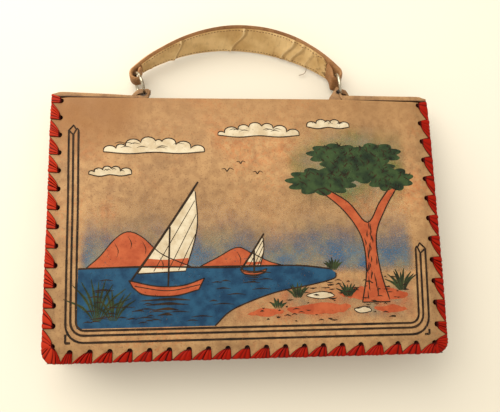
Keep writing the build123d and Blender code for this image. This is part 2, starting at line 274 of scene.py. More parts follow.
class Finish:
    """A material whose nodes are added one call at a time."""

    def __init__(self, name, constants):
        self.material = bpy.data.materials.new(name)
        self.material.use_nodes = True
        self.tree = self.material.node_tree
        self.shader = self.tree.nodes["Principled BSDF"]
        for socket, value in constants.items():
            self.shader.inputs[socket].default_value = value
        self.place = self.node("ShaderNodeTexCoord", output="Object")

    def node(self, kind, settings=None, sockets=None, output=0):
        made = self.tree.nodes.new(kind)
        for key, value in (settings or {}).items():
            setattr(made, key, value)
        for key, value in (sockets or {}).items():
            self.feed(made.inputs[key], value)
        return Value(self, made.outputs[output])

    def feed(self, socket, value):
        if isinstance(value, Value):
            self.tree.links.new(value.socket, socket)
        else:
            socket.default_value = value

    def set(self, socket, value):
        self.feed(self.shader.inputs[socket], value)

    def noise(self, scale, detail=3.0, place=None):
        sockets = {"Vector": place or self.place, "Scale": scale, "Detail": detail}
        return self.node("ShaderNodeTexNoise", None, sockets, "Fac")

    def cells(self, scale, place=None):
        sockets = {"Vector": place or self.place, "Scale": scale}
        return self.node("ShaderNodeTexVoronoi", None, sockets, "Distance")

    def stretch(self, x, y, z):
        sockets = {"Vector": self.place, "Scale": (x, y, z)}
        return self.node("ShaderNodeMapping", None, sockets, "Vector")

    def band(self, value, low, high):
        """0 below low, 1 above high, smooth between."""
        sockets = {"Value": value, "From Min": low, "From Max": high}
        return self.node("ShaderNodeMapRange", {"interpolation_type": "SMOOTHSTEP"}, sockets, "Result")

    def patches(self, scale, detail, low, high, place=None):
        """Noise made into patches: 0 where it is below low, 1 above high."""
        return self.band(self.noise(scale, detail, place), low, high)

    def mix(self, factor, first, second, blend="MIX"):
        settings = {"data_type": "RGBA", "blend_type": blend}
        return self.node("ShaderNodeMix", settings, {0: factor, 6: first, 7: second}, 2)

    def soiled(self, tone, *marks):
        """A tone under marks, each given with its share and its colour."""
        for mark, share, soil in marks:
            tone = self.mix(mark * share, tone, soil)
        return tone

    def own(self, name):
        """A number stored on the piece's own vertices."""
        return self.node("ShaderNodeAttribute", {"attribute_name": name}, None, "Fac")

    def axis(self, name):
        return self.node("ShaderNodeSeparateXYZ", None, {"Vector": self.place}, name)

    def bump(self, height, distance, strength=1.0):
        sockets = {"Height": height, "Distance": distance, "Strength": strength}
        self.set("Normal", self.node("ShaderNodeBump", None, sockets, "Normal"))


def colour(red, green, blue):
    """A shader colour from a swatch of 0 to 255."""
    full, toe, slope, shift, power = 255, 0.04045, 12.92, 0.055, 2.4
    swatch = [part / full for part in (red, green, blue)]
    return [((part + shift) / (1 + shift)) ** power if part > toe else part / slope for part in swatch] + [1]


def leather(name, base, dark, stain, stain_share):
    """Natural leather: cloudy colour, orange stains, fine specks, pebbled grain."""
    finish = Finish(name, {"Specular IOR Level": 0.30})
    tone = finish.mix(finish.patches(16, 6.0, 0.30, 0.72), dark, base)
    stains = finish.patches(27, 5.0, 0.52, 0.72) * finish.patches(300, 5.0, 0.36, 0.62)
    tone = finish.mix(stains * stain_share, tone, stain)
    mottle = finish.patches(170, 5.0, 0.36, 0.66)
    specks = finish.patches(900, 3.0, 0.54, 0.70)
    streaks = finish.patches(220, 4.0, 0.58, 0.76, finish.stretch(1, 0.14, 1))
    for mark, share in ((mottle, 0.32), (specks, 0.42), (streaks, 0.25)):
        tone = finish.mix(mark * share, tone, dark, "MULTIPLY")
    scuffs = finish.patches(75, 6.0, 0.62, 0.78, finish.stretch(0.3, 1, 1))
    tone = finish.mix(scuffs * 0.30, tone, base, "SCREEN")
    contour = finish.noise(240, 2.5) - 0.5
    cracks = finish.band(contour * contour, 0.0012, 0.0) * finish.patches(20, 3.0, 0.46, 0.66)
    tone = finish.mix(cracks * 0.40, tone, stain)
    finish.tone = tone
    finish.set("Base Color", tone)
    finish.set("Roughness", 0.50 + finish.noise(60, 4.0) * 0.24)
    grain = finish.cells(1300) * 0.5 + finish.noise(520, 4.0) * 0.9 + finish.noise(120, 3.0) * 0.8
    finish.bump(grain, grain_depth, 0.55)
    return finish


panel_leather = leather(
    "panel_leather", colour(174, 134, 86), colour(146, 110, 68), colour(172, 104, 54), 0.65
)
panel_x, panel_y = panel_leather.axis("X"), panel_leather.axis("Y")
grime_start_share, grime_end_share, soil_start_share = 0.86, 1.0, 0.45
corner_stain_x, corner_stain_y, corner_stain_reach = -112 * mm, 84 * mm, 44 * mm
handled = panel_leather.band(panel_x * panel_x / half_width**2, grime_start_share**2, grime_end_share)
handled = handled + panel_leather.band(panel_y / -half_height, grime_start_share, grime_end_share)
handled = handled * (0.5 + panel_leather.noise(60, 4.0) * 0.6)
stain_x = (panel_x - corner_stain_x) / corner_stain_reach
stain_y = (panel_y - corner_stain_y) / corner_stain_reach
stained = panel_leather.band(stain_x * stain_x + stain_y * stain_y, 1.0, 0.1)
stained = stained * (0.5 + panel_leather.noise(40, 5.0) * 0.5)
panel_tone = panel_leather.soiled(
    panel_leather.tone,
    (panel_leather.band(panel_y / half_height, soil_start_share, 1.0), 0.48, colour(136, 96, 52)),
    (handled, 0.32, colour(112, 84, 52)),
    (stained, 0.9, colour(128, 82, 34)),
)
panel_leather.set("Base Color", panel_tone)
front_panel = add_piece("front_panel_hide", leather_panel(on_front), panel_leather)
punch(front_panel, hole_cutters(on_front, front_turn, hole_radius))
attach(front_panel, "bag")
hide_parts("front_panel")

# Border
# Three black lines pressed and inked round the sides and bottom of the front panel, their ends
# closed by a small point, with a short tick cut off at each bottom corner. Like all that is inked,
# it is drawn in millimetres from the middle of the panel and up from its bottom edge.
ink_lift, ink_layer, ink_grain_depth = 0.05 * mm, 0.02 * mm, 0.15 * mm
ink_reach, largest_face, same_spot = 4, 4, 1e-9
pen_wander_share, pen_wanders_per_mm = 0.22, 0.35
line_insets_left = (15.7, 18.9, 22.5)
line_insets_bottom = (13.0, 17.7, 20.9)
line_insets_right = (11.7, 15.6, 18.8)
line_radii = (12, 9, 6)
line_width, tip_line_share = 1.5, 0.75
border_step, tip_step, tick_step = 3, 1, 0.5
left_tip, right_tip, tip_length = 167.5, 77.5, 10
tip_drop_shares, waist_share, waist_drop_share, roof_drop_share = (0.4, 0.75, 0.4), 0.55, 0.33, 0.24
left_skew_top, left_skew_low, right_skew_low = 2.3, 0.3, -1.3
tick_rises, tick_reaches, tick_round = {-1: 5.8, 1: 3.4}, {-1: 3.2, 1: 3.4}, 0.8
corner_steps = 6
border_layer = 5


def on_print(x, y, layer):
    """A point of the print on the hide."""
    x, y = x * mm, y * mm - half_height
    return on_front(x, y, hide_lift(x, y) + ink_lift + ink_layer * layer)


def lay_ink(bm, flat, layer):
    """Divides flat ink until it follows the hide, lays it on and joins it to a piece."""
    flat.normal_update()
    while long_edges := [edge for edge in flat.edges if edge.calc_length() > ink_reach]:
        bmesh.ops.subdivide_edges(flat, edges=long_edges, cuts=1)
        wide = [face for face in flat.faces if len(face.verts) > largest_face]
        bmesh.ops.triangulate(flat, faces=wide)
    for vert in flat.verts:
        vert.co = on_print(vert.co.x, vert.co.y, layer)
    for face in flat.faces:
        if face.normal.z < 0:
            face.normal_flip()
    mesh = bpy.data.meshes.new("ink")
    flat.to_mesh(mesh)
    flat.free()
    bm.from_mesh(mesh)
    bpy.data.meshes.remove(mesh)


def ink_line(bm, points, width, layer, taper=0.0):
    """A drawn line of slightly uneven width; taper thins its ends."""
    flat = bmesh.new()
    path = [Vector(point) for point in points]
    near = []
    far = []
    for index, point in enumerate(path):
        ahead = path[min(index + 1, len(path) - 1)] - path[max(index - 1, 0)]
        across = Vector((-ahead.y, ahead.x)).normalized()
        share = index / (len(path) - 1)
        wander = 1 + pen_wander_share * noise.noise(Vector((point.x, point.y, 0)) * pen_wanders_per_mm)
        half = width / 2 * wander * (1 - taper * abs(2 * share - 1))
        near.append(flat.verts.new((*(point - across * half), 0)))
        far.append(point + across * half)
    edges = [flat.edges.new(pair) for pair in zip(near, near[1:])]
    made = bmesh.ops.extrude_edge_only(flat, edges=edges)["geom"]
    for vert in [part for part in made if isinstance(part, bmesh.types.BMVert)]:
        index = next(i for i, start in enumerate(near) if (start.co - vert.co).length < same_spot)
        vert.co = (*far[index], 0)
    lay_ink(bm, flat, layer)


def rounded_route(points, radius):
    """Corner points of a line with each inner corner turned by an arc."""
    route = [Vector(points[0])]
    for before, corner, after in zip(points, points[1:], points[2:]):
        corner = Vector(corner)
        into = (Vector(before) - corner).normalized()
        out = (Vector(after) - corner).normalized()
        middle = corner + (into + out) * radius
        for step in range(corner_steps + 1):
            angle = math.pi / 2 * step / corner_steps
            route.append(middle - out * radius * math.cos(angle) - into * radius * math.sin(angle))
    return route + [Vector(points[-1])]


def in_steps(points, step):
    """The same line with points a step apart."""
    route = []
    for start, end in zip(points, points[1:]):
        start, end = Vector(start), Vector(end)
        count = max(1, round((end - start).length / step))
        route += [start.lerp(end, index / count) for index in range(count)]
    return route + [Vector(points[-1])]


def print_ink(name, tone, deep, wear_and_crease_light, gloss=0.5):
    """Ink rubbed off the high grain of the hide."""
    finish = Finish(name, {"Specular IOR Level": 0.15})
    finish.set("Base Color", finish.mix(finish.patches(140, 4.0, 0.30, 0.70), deep, tone))
    finish.set("Roughness", gloss + finish.noise(90, 3.0) * 0.2)
    rubbed = finish.patches(620, 5.0, 0.56, 0.74) * finish.patches(46, 3.0, 0.30, 0.72)
    finish.set("Alpha", 1 - rubbed * wear_and_crease_light)
    finish.bump(finish.cells(1300) * 0.5 + finish.noise(520, 4.0) * 0.9, ink_grain_depth, 0.5)
    return finish


black_ink = print_ink("black_ink", colour(50, 33, 16), colour(26, 17, 8), 0.9, 0.62)
half_print = half_width / mm
border = bmesh.new()
for left, bottom, right, radius, drop_share in zip(
    line_insets_left, line_insets_bottom, line_insets_right, line_radii, tip_drop_shares
):
    corners = [
        (left - left_skew_top - half_print, left_tip - tip_length * drop_share),
        (left - left_skew_low - half_print, bottom),
        (half_print - right + right_skew_low, bottom),
        (half_print - right, right_tip - tip_length * drop_share),
    ]
    ink_line(border, in_steps(rounded_route(corners, radius), border_step), line_width, border_layer)
for insets, tip, side in ((line_insets_left, left_tip, -1), (line_insets_right, right_tip, 1)):
    skew = left_skew_top if side < 0 else 0
    outer, middle, inner = [side * (half_print - inset + skew) for inset in insets]
    outer_y, middle_y, inner_y = [tip - tip_length * share for share in tip_drop_shares]
    waist, waist_y = between(middle, inner, waist_share), tip - tip_length * waist_drop_share
    roof = [
        (waist, waist_y),
        ((waist + inner) / 2, tip - tip_length * roof_drop_share),
        (inner, inner_y),
    ]
    point = [(outer, outer_y), (middle, tip), (waist, waist_y), (middle, middle_y)]
    for route in (point + point[:2], roof):
        ink_line(border, in_steps(route, tip_step), line_width * tip_line_share, border_layer)
    corner_x = outer + right_skew_low if side > 0 else outer + left_skew_top - left_skew_low
    corner_y = line_insets_bottom[0]
    tick = [
        (corner_x, corner_y + tick_rises[side]),
        (corner_x, corner_y),
        (corner_x - side * tick_reaches[side], corner_y),
    ]
    ink_line(border, in_steps(rounded_route(tick, tick_round), tick_step), line_width, border_layer)
border_lines = add_piece("border_lines", border, black_ink)
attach(border_lines, "bag")

# Print
# A river landscape of a common kind, inked on the hide by hand: sprayed haze first, then flat
# fields of colour, then black drawing. All of it is thin, and rubbed along the grain.
print_seed = 7
picture_left, picture_right, picture_bottom, bank_height = -117.4, 120, 22.2, 62.5
ground_layer, middle_layer, near_layer, top_layer = 1, 2, 3, 4
shade_layer, pen_layer, rig_layer = 5, 6, 7
hair_line, fine_line, edge_line, curl_line, pen_line = 0.5, 0.6, 0.7, 0.8, 0.9
bank_line, mast_line, yard_line, blade_line = 1.1, 1.2, 1.3, 2.0
pen_taper, vein_taper, wing_taper = 0.8, 0.9, 0.6
soft_steps, blade_steps, quick_steps, dash_steps = 6, 4, 3, 2
drawing, rust, river, leaves, cream = [bmesh.new() for _ in range(5)]
dice = random.Random(print_seed)


def smooth_run(points, steps=soft_steps):
    """Points along a soft curve through the given ones."""
    path = [Vector(point) for point in points]
    path = [2 * path[0] - path[1]] + path + [2 * path[-1] - path[-2]]
    route = []
    for a, b, c, d in zip(path, path[1:], path[2:], path[3:]):
        for step in range(steps):
            t = step / steps
            pull = (c - a) * t + (2 * a - 5 * b + 4 * c - d) * t**2 + (3 * b - a - 3 * c + d) * t**3
            route.append(b + pull / 2)
    return route + [path[-2]]


def smooth_loop(points, steps=soft_steps):
    around = [points[-1]] + list(points) + list(points[:2])
    return smooth_run(around, steps)[steps:-steps - 1]


def ink_field(bm, outline, layer):
    """A flat field of colour inside an outline."""
    flat = bmesh.new()
    verts = [flat.verts.new((point[0], point[1], 0)) for point in outline]
    edges = [flat.edges.new(pair) for pair in zip(verts, verts[1:] + verts[:1])]
    bmesh.ops.triangle_fill(flat, use_beauty=True, edges=edges, normal=(0, 0, 1))
    lay_ink(bm, flat, layer)


def stroke(points, width, taper=0.0, steps=soft_steps, layer=pen_layer):
    """A black line drawn softly through its points."""
    ink_line(drawing, smooth_run(points, steps), width, layer, taper)


def outlined(bm, outline, layer, width=edge_line):
    """A field with its black drawn edge."""
    ink_field(bm, outline, layer)
    ink_line(drawing, list(outline) + [outline[0], outline[1]], width, pen_layer)


def placed(points, x, y, size=1):
    """Points of a small drawing, moved to its place in the picture."""
    return [(x + a * size, y + b * size) for a, b in points]


# The hazes: blue over the river's far bank, green round the tree, red on the sand
haze_pitch, haze_edge = 3, 6
haze_low, haze_high, haze_reach = 56, 118, 24
haze_share, haze_drift_share, haze_waves = 0.95, 0.6, (0.03, 0.045, 1)
tree_left, tree_low, tree_high, tree_x, tree_y, tree_reach_x, tree_reach_y = 28, 100, 172, 80, 136, 47, 27
leaf_share, leaf_floor_share, leaf_drift_share, leaf_waves = 0.95, 0.75, 0.5, (0.06, 0.06, 4)
sand_left, sand_high, sand_middle, sand_reach, sand_fade = -34, 62, 34, 13, 30
sand_share, sand_drift_share, sand_waves = 0.5, 0.6, (0.05, 0.07, 8)


def sprayed(name, tone, low, high, strength):
    """A sprayed haze; strength gives its cover at a point of the print."""
    columns, rows = [int((end - start) / haze_pitch) for start, end in zip(low, high)]
    bm = flat_grid(columns, rows)
    cover = bm.verts.layers.float.new("cover")
    for vert in bm.verts:
        x = between(low[0], high[0], vert.co.x + unit_half)
        y = between(low[1], high[1], vert.co.y + unit_half)
        edge = min(x - low[0], high[0] - x, y - low[1], high[1] - y)
        vert[cover] = strength(x, y) * smooth_step(0, haze_edge, edge)
        vert.co = on_print(x, y, 0)
    finish = Finish(name, {"Specular IOR Level": 0.3, "Roughness": 0.6})
    dusty = finish.patches(70, 4.0, 0.3, 0.7)
    finish.set("Base Color", finish.mix(dusty, tone, colour(120, 118, 96)))
    dots = finish.patches(1500, 2.0, 0.30, 0.62)
    finish.set("Alpha", finish.own("cover") * (0.35 + dots * 0.65))
    piece = add_piece(name, bm, finish)
    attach(piece, "bag")


def drift(x, y, per_x, per_y, seed):
    """Slow noise; its waves per unit may differ along x and y."""
    return noise.noise(Vector((x * per_x, y * per_y, seed)))


def haze(x, y):
    fade = math.exp(-(((y - bank_height) / haze_reach) ** 2))
    return max(0, min(1, fade * (haze_share + haze_drift_share * drift(x, y, *haze_waves))))


def leaf_mist(x, y):
    spread = ((x - tree_x) / tree_reach_x) ** 2 + ((y - tree_y) / tree_reach_y) ** 2
    cover = leaf_floor_share + leaf_drift_share * drift(x, y, *leaf_waves)
    return max(0, leaf_share * math.exp(-spread * spread) * cover)


def sand_mist(x, y):
    low = math.exp(-(((y - sand_middle) / sand_reach) ** 2)) * smooth_step(-sand_fade, sand_fade, x)
    return max(0, low * (sand_share + sand_drift_share * drift(x, y, *sand_waves)))


sprayed("blue_haze", colour(40, 84, 112), (picture_left, haze_low), (picture_right, haze_high), haze)
sprayed("leaf_haze", colour(84, 104, 40), (tree_left, tree_low), (picture_right, tree_high), leaf_mist)
sprayed("sand_haze", colour(182, 88, 44), (sand_left, picture_bottom), (picture_right, sand_high), sand_mist)

# The river with its waves, kept clear of the boat, and the hills behind it
far_bank_points = ((picture_left, bank_height), (-70, 63.4), (-20, 62), (30, 62.8), (58, 60))
near_bank_points = ((62, 57), (60, 53), (44, 49), (20, 44.5), (0, 38), (-14, 31.5), (-24, picture_bottom))
wave_count, wave_lengths, wave_rise = 60, (5, 15), 0.7
water_end_low, water_end_high = -24, 44
water_margin_low, water_margin_high, water_margin_left, water_margin_right = 2, 4, 4, 14
boat_left, boat_right, boat_low, boat_high = -96, -28, 40, 58
hills = (
    [(-112, 63), (-103, 71), (-93, 83), (-84, 88), (-74, 84), (-62, 73), (-50, 67), (-40, 63)],
    [(-34, 63), (-22, 69), (-8, 76), (2, 72), (14, 66), (24, 63)],
)
hill_slope = ((0, -3), (2.4, -8), (2, -12))

far_bank, near_bank = smooth_run(far_bank_points), smooth_run(near_bank_points)
ink_field(river, far_bank + near_bank + [Vector((picture_left, picture_bottom))], ground_layer)
ink_line(drawing, far_bank, bank_line, pen_layer)
ink_line(drawing, near_bank, pen_line, pen_layer)
for _ in range(wave_count):
    y = dice.uniform(picture_bottom + water_margin_low, bank_height - water_margin_high)
    reach = between(water_end_low, water_end_high, (y - picture_bottom) / (bank_height - picture_bottom))
    x = dice.uniform(picture_left + water_margin_left, reach - water_margin_right)
    length = dice.uniform(*wave_lengths)
    if boat_low < y < boat_high and boat_left < x < boat_right:
        continue
    stroke([(x, y), (x + length / 2, y + wave_rise), (x + length, y)], pen_line, pen_taper, quick_steps)
for ridge in hills:
    outlined(rust, smooth_run(ridge), ground_layer)
    for x, y in ridge[2:-2]:
        stroke(placed(hill_slope, x, y), fine_line, pen_taper, quick_steps)

# Two sail boats, a near and a far one
boats = ((-58, 50, 1.0), (3, 59, 0.36))
sail_luff, sail_leech = ((-19, 9), (-2, 34), (20, 68)), ((21, 66), (22, 40), (14, 10))
sail_foot = ((-19, 8.5),)
sail_seams = (((-8, 10), (20.5, 60)), ((2, 10.5), (21.5, 50)), ((9, 10.5), (21, 36)))
stripe_low, stripe_high = ((-16, 13), (0, 12), (15.2, 14)), ((16, 19), (0, 18), (-12.6, 19))
yard, mast, plank = ((-24, 3), (-2, 35), (23, 74)), ((2, 0), (3, 41)), ((-21, 0), (2, -3.4), (24, 0.4))
gunwale, keel = ((-25, 4), (-6, -0.2), (12, 0), (27, 5)), ((23, -3), (6, -7), (-14, -6), (-22, -1))
reflections, reflection_rise, reflection_bend_share = ((-10, 17), (-13, 13), (-16.5, 9), (-20, 5)), 0.9, 0.2


def sail_boat(x, y, size):
    """A river boat: rust hull, leaning yard and one tall cream sail."""

    def at(points):
        return placed(points, x, y, size)

    sail = smooth_run(at(sail_luff)) + smooth_run(at(sail_leech)) + at(sail_foot)
    outlined(cream, sail, near_layer, curl_line)
    for seam in sail_seams:
        stroke(at(seam), hair_line)
    ink_field(rust, smooth_run(at(stripe_low)) + smooth_run(at(stripe_high)), top_layer)
    stroke(at(yard), yard_line, layer=rig_layer)
    ink_line(drawing, at(mast), mast_line, rig_layer)
    outlined(rust, smooth_run(at(gunwale)) + smooth_run(at(keel)), top_layer, pen_line)
    stroke(at(plank), fine_line, layer=rig_layer)
    for drop, reach in reflections:
        gleam = ((-reach, drop), (reach * reflection_bend_share, drop + reflection_rise), (reach, drop))
        stroke(at(gleam), blade_line * size, pen_taper, layer=shade_layer)


for x, y, size in boats:
    sail_boat(x, y, size)

# The tree: a forked trunk and a crown of five leaf masses, each with its middle, reach and lobes
trunk_runs = (
    ((80, 36), (84, 58), (82, 82), (70, 102), (52, 118)),
    ((57, 119), (74, 108), (87, 93), (97, 108), (106, 120)),
    ((110, 118), (101, 103), (93, 84), (94, 60), (100, 36)),
)
bark_count, bark_span, bark_low, bark_pitch = 26, (84.5, 92), 38, 2
bark_bend, bark_tip_bend, bark_tip_rise = (-0.8, 0.8), (-0.8, 0.4), (4, 7)
crowns = (
    (55, 124, 25, 10, 11),
    (106, 126, 17, 9, 9),
    (82, 134, 27, 11, 12),
    (66, 145, 20, 8, 9),
    (97, 146, 18, 8, 8),
)
lobe_points, lobe_depth_share, lobe_swell, lobe_turn = 7, 0.16, 1.6, 0.4
veins_per_reach, vein_field_share = 1.5, 0.86
vein_sway, vein_rise, vein_bend = (-4, 4), (1.5, 4.5), Vector((0.6, 0))


def scallops(x, y, reach_x, reach_y, lobes):
    """Outline of a leaf mass: an oval of round lobes."""
    outline = []
    for step in range(lobes * lobe_points):
        angle = 2 * math.pi * step / (lobes * lobe_points)
        bulge = abs(math.sin(lobes * angle / 2 + lobe_turn)) * lobe_swell
        swell = 1 - lobe_depth_share + lobe_depth_share * bulge
        across, up = reach_x * swell * math.cos(angle), reach_y * swell * math.sin(angle)
        outline.append(Vector((x + across, y + up)))
    return outline


outlined(rust, [point for run in trunk_runs for point in smooth_run(run)], middle_layer, pen_line)
for step in range(bark_count):
    x, y = dice.uniform(*bark_span), bark_low + step * bark_pitch
    bark = [
        (x, y),
        (x + dice.uniform(*bark_bend), y + bark_pitch),
        (x + dice.uniform(*bark_tip_bend), y + dice.uniform(*bark_tip_rise)),
    ]
    stroke(bark, pen_line, pen_taper, quick_steps)
for x, y, reach_x, reach_y, lobes in crowns:
    ink_field(leaves, scallops(x, y, reach_x, reach_y, lobes), near_layer)
    for _ in range(int(reach_x * veins_per_reach)):
        angle = dice.uniform(0, 2 * math.pi)
        share = math.sqrt(dice.random()) * vein_field_share
        start = Vector((x + reach_x * share * math.cos(angle), y + reach_y * share * math.sin(angle)))
        tip = start + Vector((dice.uniform(*vein_sway), dice.uniform(*vein_rise)))
        stroke([start, (start + tip) / 2 + vein_bend, tip], curl_line, vein_taper, quick_steps)

# The sand: red patches, dashes, pebbles and tufts, each with its place, blades and length
sand_patches = (
    [(26, 32), (46, 36), (70, 35), (66, 30), (40, 28.5)],
    [(64, 43), (80, 47), (104, 45), (113, 40), (96, 37), (74, 38.5)],
    [(-2, 29.5), (12, 33.5), (24, 31), (14, 28)],
    [(88, 32), (104, 33.5), (112, 30), (98, 28.5)],
)
rag_height, rag_waves = 1.5, (0.35, 0.35, 2)
dash_count, dash_lengths, dash_widths = 70, (1.5, 6), (0.6, 1.3)
dash_bend, dash_end_bend = (-0.6, 0.8), (-0.4, 0.4)
dash_margin_low, dash_high, dash_margin_right = 2, 54, 8
shore_low, shore_high, shore_rise = -18, 64, 35
pebbles = ([(40, 41.5), (52, 44), (60, 41), (50, 39)], [(74, 31.5), (82, 33), (86, 30), (78, 28.6)])
tufts = (
    (-104, 27, 9, 28.5),
    (-93, 27, 7, 21),
    (34, 40, 7, 10.5),
    (70, 40, 7, 10.5),
    (109, 44, 9, 15),
    (20, 33, 5, 7.5),
    (60, 59, 7, 9),
)
tuft_half, blade_lean, blade_sway, blade_growth = 2, 0.9, 0.1, (0.8, 1.1)
blade_bend_share, blade_lift_share = 0.10, 0.06


def ragged(outline):
    """An outline with a torn, brushed edge."""
    rough = []
    for point in outline:
        lift = rag_height * drift(point.x, point.y, *rag_waves)
        rough.append(point + Vector((0, lift)))
    return rough


def tuft(x, y, count, length):
    """A tuft of pointed leaves."""
    for index in range(count):
        share = index / (count - 1)
        lean = between(-blade_lean, blade_lean, share) + dice.uniform(-blade_sway, blade_sway)
        rise = length * math.cos(lean) * dice.uniform(*blade_growth)
        tip = Vector((x + length * math.sin(lean), y + rise))
        root = Vector((x + between(-tuft_half, tuft_half, share), y))
        lift = Vector((-blade_bend_share * length * lean, blade_lift_share * length))
        blade = smooth_run([root, (root + tip) / 2 + lift, tip], blade_steps)
        ink_line(leaves, blade, blade_line, top_layer, pen_taper)
        ink_line(drawing, blade, hair_line, pen_layer, pen_taper)


for patch in sand_patches:
    ink_field(rust, ragged(smooth_loop(patch)), ground_layer)
for _ in range(dash_count):
    y = dice.uniform(picture_bottom + dash_margin_low, dash_high)
    shore = between(shore_low, shore_high, (y - picture_bottom) / shore_rise)
    x = dice.uniform(shore, picture_right - dash_margin_right)
    length = dice.uniform(*dash_lengths)
    dash = [
        (x, y),
        (x + length / 2, y + dice.uniform(*dash_bend)),
        (x + length, y + dice.uniform(*dash_end_bend)),
    ]
    stroke(dash, dice.uniform(*dash_widths), pen_taper, dash_steps)
for pebble in pebbles:
    outlined(cream, smooth_loop(pebble), middle_layer, fine_line)
for x, y, count, length in tufts:
    tuft(x, y, count, length)

# The sky: clouds with their middle, reach, height and bumps, and birds with their size
clouds = ((-66, 148, 36, 7, 8), (10, 161, 30, 6, 7), (-97, 131, 15, 3, 5), (62, 168, 16, 3, 5))
bump_shares, bump_steps, bump_start_deg, bump_end_deg = (0.5, 1.5), 6, 165, 15
bump_rise_share, cloud_power = 0.7, 1.5
cloud_foot_shares, cloud_foot_drops = (1, 0.5, 0, -0.5, -1), (1, 2.4, 1.4, 2.6, 1)
curl_x_shares, curl_y_shares = (-0.8, 0.5), (0.2, 0.8)
curl_bend_share, curl_bend_rise, curl_end_share, curl_end_rise = 0.10, 1.1, 0.22, 0.2
birds = ((-14, 132, 4), (-4, 138, 3), (8, 130, 3.4))
wings = ((-1, 0.4), (-0.4, 0.5), (0, 0), (0.5, 0.6), (1.2, 0.3))


def cloud(x, y, reach, height, bumps):
    """Outline of a cloud: uneven bumps over a nearly flat foot."""
    outline = []
    sizes = [dice.uniform(*bump_shares) for _ in range(bumps)]
    start = x - reach
    for size in sizes:
        bump = reach * size / sum(sizes)
        lift = height * math.sin(math.pi * (start + bump - x + reach) / (2 * reach)) ** cloud_power
        for step in range(bump_steps + 1):
            angle = math.radians(between(bump_start_deg, bump_end_deg, step / bump_steps))
            up = lift + bump * math.sin(angle) * bump_rise_share
            outline.append(Vector((start + bump * (1 + math.cos(angle)), y + up)))
        start += 2 * bump
    foot = [(x + reach * share, y - drop) for share, drop in zip(cloud_foot_shares, cloud_foot_drops)]
    return outline + smooth_run(foot, blade_steps)


for x, y, reach, height, bumps in clouds:
    outlined(cream, cloud(x, y, reach, height, bumps), middle_layer, curl_line)
    for _ in range(bumps):
        across, up = dice.uniform(*curl_x_shares) * reach, dice.uniform(*curl_y_shares) * height
        start = Vector((x + across, y + up))
        bend = start + Vector((reach * curl_bend_share, curl_bend_rise))
        end = start + Vector((reach * curl_end_share, curl_end_rise))
        stroke([start, bend, end], fine_line, pen_taper, quick_steps)
for x, y, size in birds:
    stroke(placed(wings, x, y, size), curl_line, wing_taper)

inks = (
    ("rust_ink", rust, colour(168, 82, 45), colour(148, 64, 32), 0.75),
    ("river_ink", river, colour(30, 70, 94), colour(14, 46, 70), 0.55),
    ("leaf_ink", leaves, colour(50, 68, 34), colour(22, 34, 18), 0.55),
    ("cream_ink", cream, colour(198, 184, 154), colour(176, 156, 122), 0.5),
)
for name, bm, tone, deep, wear_and_crease_light in inks:
    piece = add_piece("print_" + name, bm, print_ink(name, tone, deep, wear_and_crease_light))
    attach(piece, "bag")
print_drawing = add_piece("print_drawing", drawing, black_ink)
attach(print_drawing, "bag")

# Back panel
# The twin of the front panel, of the same leather and without a print. It lies flat on the table,
# so it doesn't swell.
back_rest = Matrix.Translation((0, 0, panel_thickness)) @ Matrix.Rotation(math.pi, 4, "Y")


def on_back(x, y, lift):
    """A point of the flat back panel, lift outward from its inner face."""
    return back_rest @ Vector((-x, y, lift))


back_panel = add_piece("back_panel_hide", leather_panel(on_back), panel_leather)
punch(back_panel, hole_cutters(on_back, flat_turn, hole_radius))
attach(back_panel, "bag")
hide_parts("back_panel")

# Linings and facings
# Plain woven cloth glued inside each panel, and above it a strip of the softer gusset hide that
# faces the mouth and carries the press stud.
lining_half_width, lining_low, facing_low = 110 * mm, -83 * mm, 69 * mm
lining_thickness, facing_thickness = 0.8 * mm, 1.2 * mm
weave_scale, weave_depth = 420, 0.15 * mm
cloth_columns, cloth_rows = 44, 30


def inner_sheet(place, low, high, thickness):
    bm = flat_grid(cloth_columns, cloth_rows)
    inner = doubled(bm)
    for vert in bm.verts:
        x = vert.co.x * 2 * lining_half_width
        y = between(low, high, vert.co.y + unit_half)
        vert.co = place(x, y, -thickness if vert in inner else 0)
    face_outward(bm)
    return bm


lining_cloth = Finish("lining_cloth", {"Roughness": 0.85, "Specular IOR Level": 0.2})
weave = {"Vector": lining_cloth.place, "Scale": weave_scale}
warp, weft = [
    lining_cloth.node("ShaderNodeTexWave", {"bands_direction": axis}, weave, "Fac") for axis in "XY"
]
cloth_tone = lining_cloth.mix(lining_cloth.noise(22, 5.0), colour(150, 116, 78), colour(184, 150, 106))
lining_cloth.set("Base Color", lining_cloth.mix(warp * weft * 0.4, cloth_tone, colour(118, 88, 58)))
lining_cloth.bump(warp * weft, weave_depth, 0.6)
soft_hide = (colour(172, 132, 84), colour(128, 92, 56), colour(150, 96, 50), 0.45)
facing_leather = leather("facing_leather", *soft_hide)
for name, place, low, high, thickness, finish, slot in (
    ("front_lining", on_front, lining_low, facing_low, lining_thickness, lining_cloth, "lining_cloth"),
    ("back_lining", on_back, lining_low, facing_low, lining_thickness, lining_cloth, "lining_cloth"),
    ("front_facing", on_front, facing_low, half_height, facing_thickness, facing_leather, "gusset_leather"),
    ("back_facing", on_back, facing_low, half_height, facing_thickness, facing_leather, "gusset_leather"),
):
    piece = add_piece(name + "_sheet", inner_sheet(place, low, high, thickness), finish)
    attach(piece, "bag")
    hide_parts(name)
    if finish is lining_cloth:
        high - low

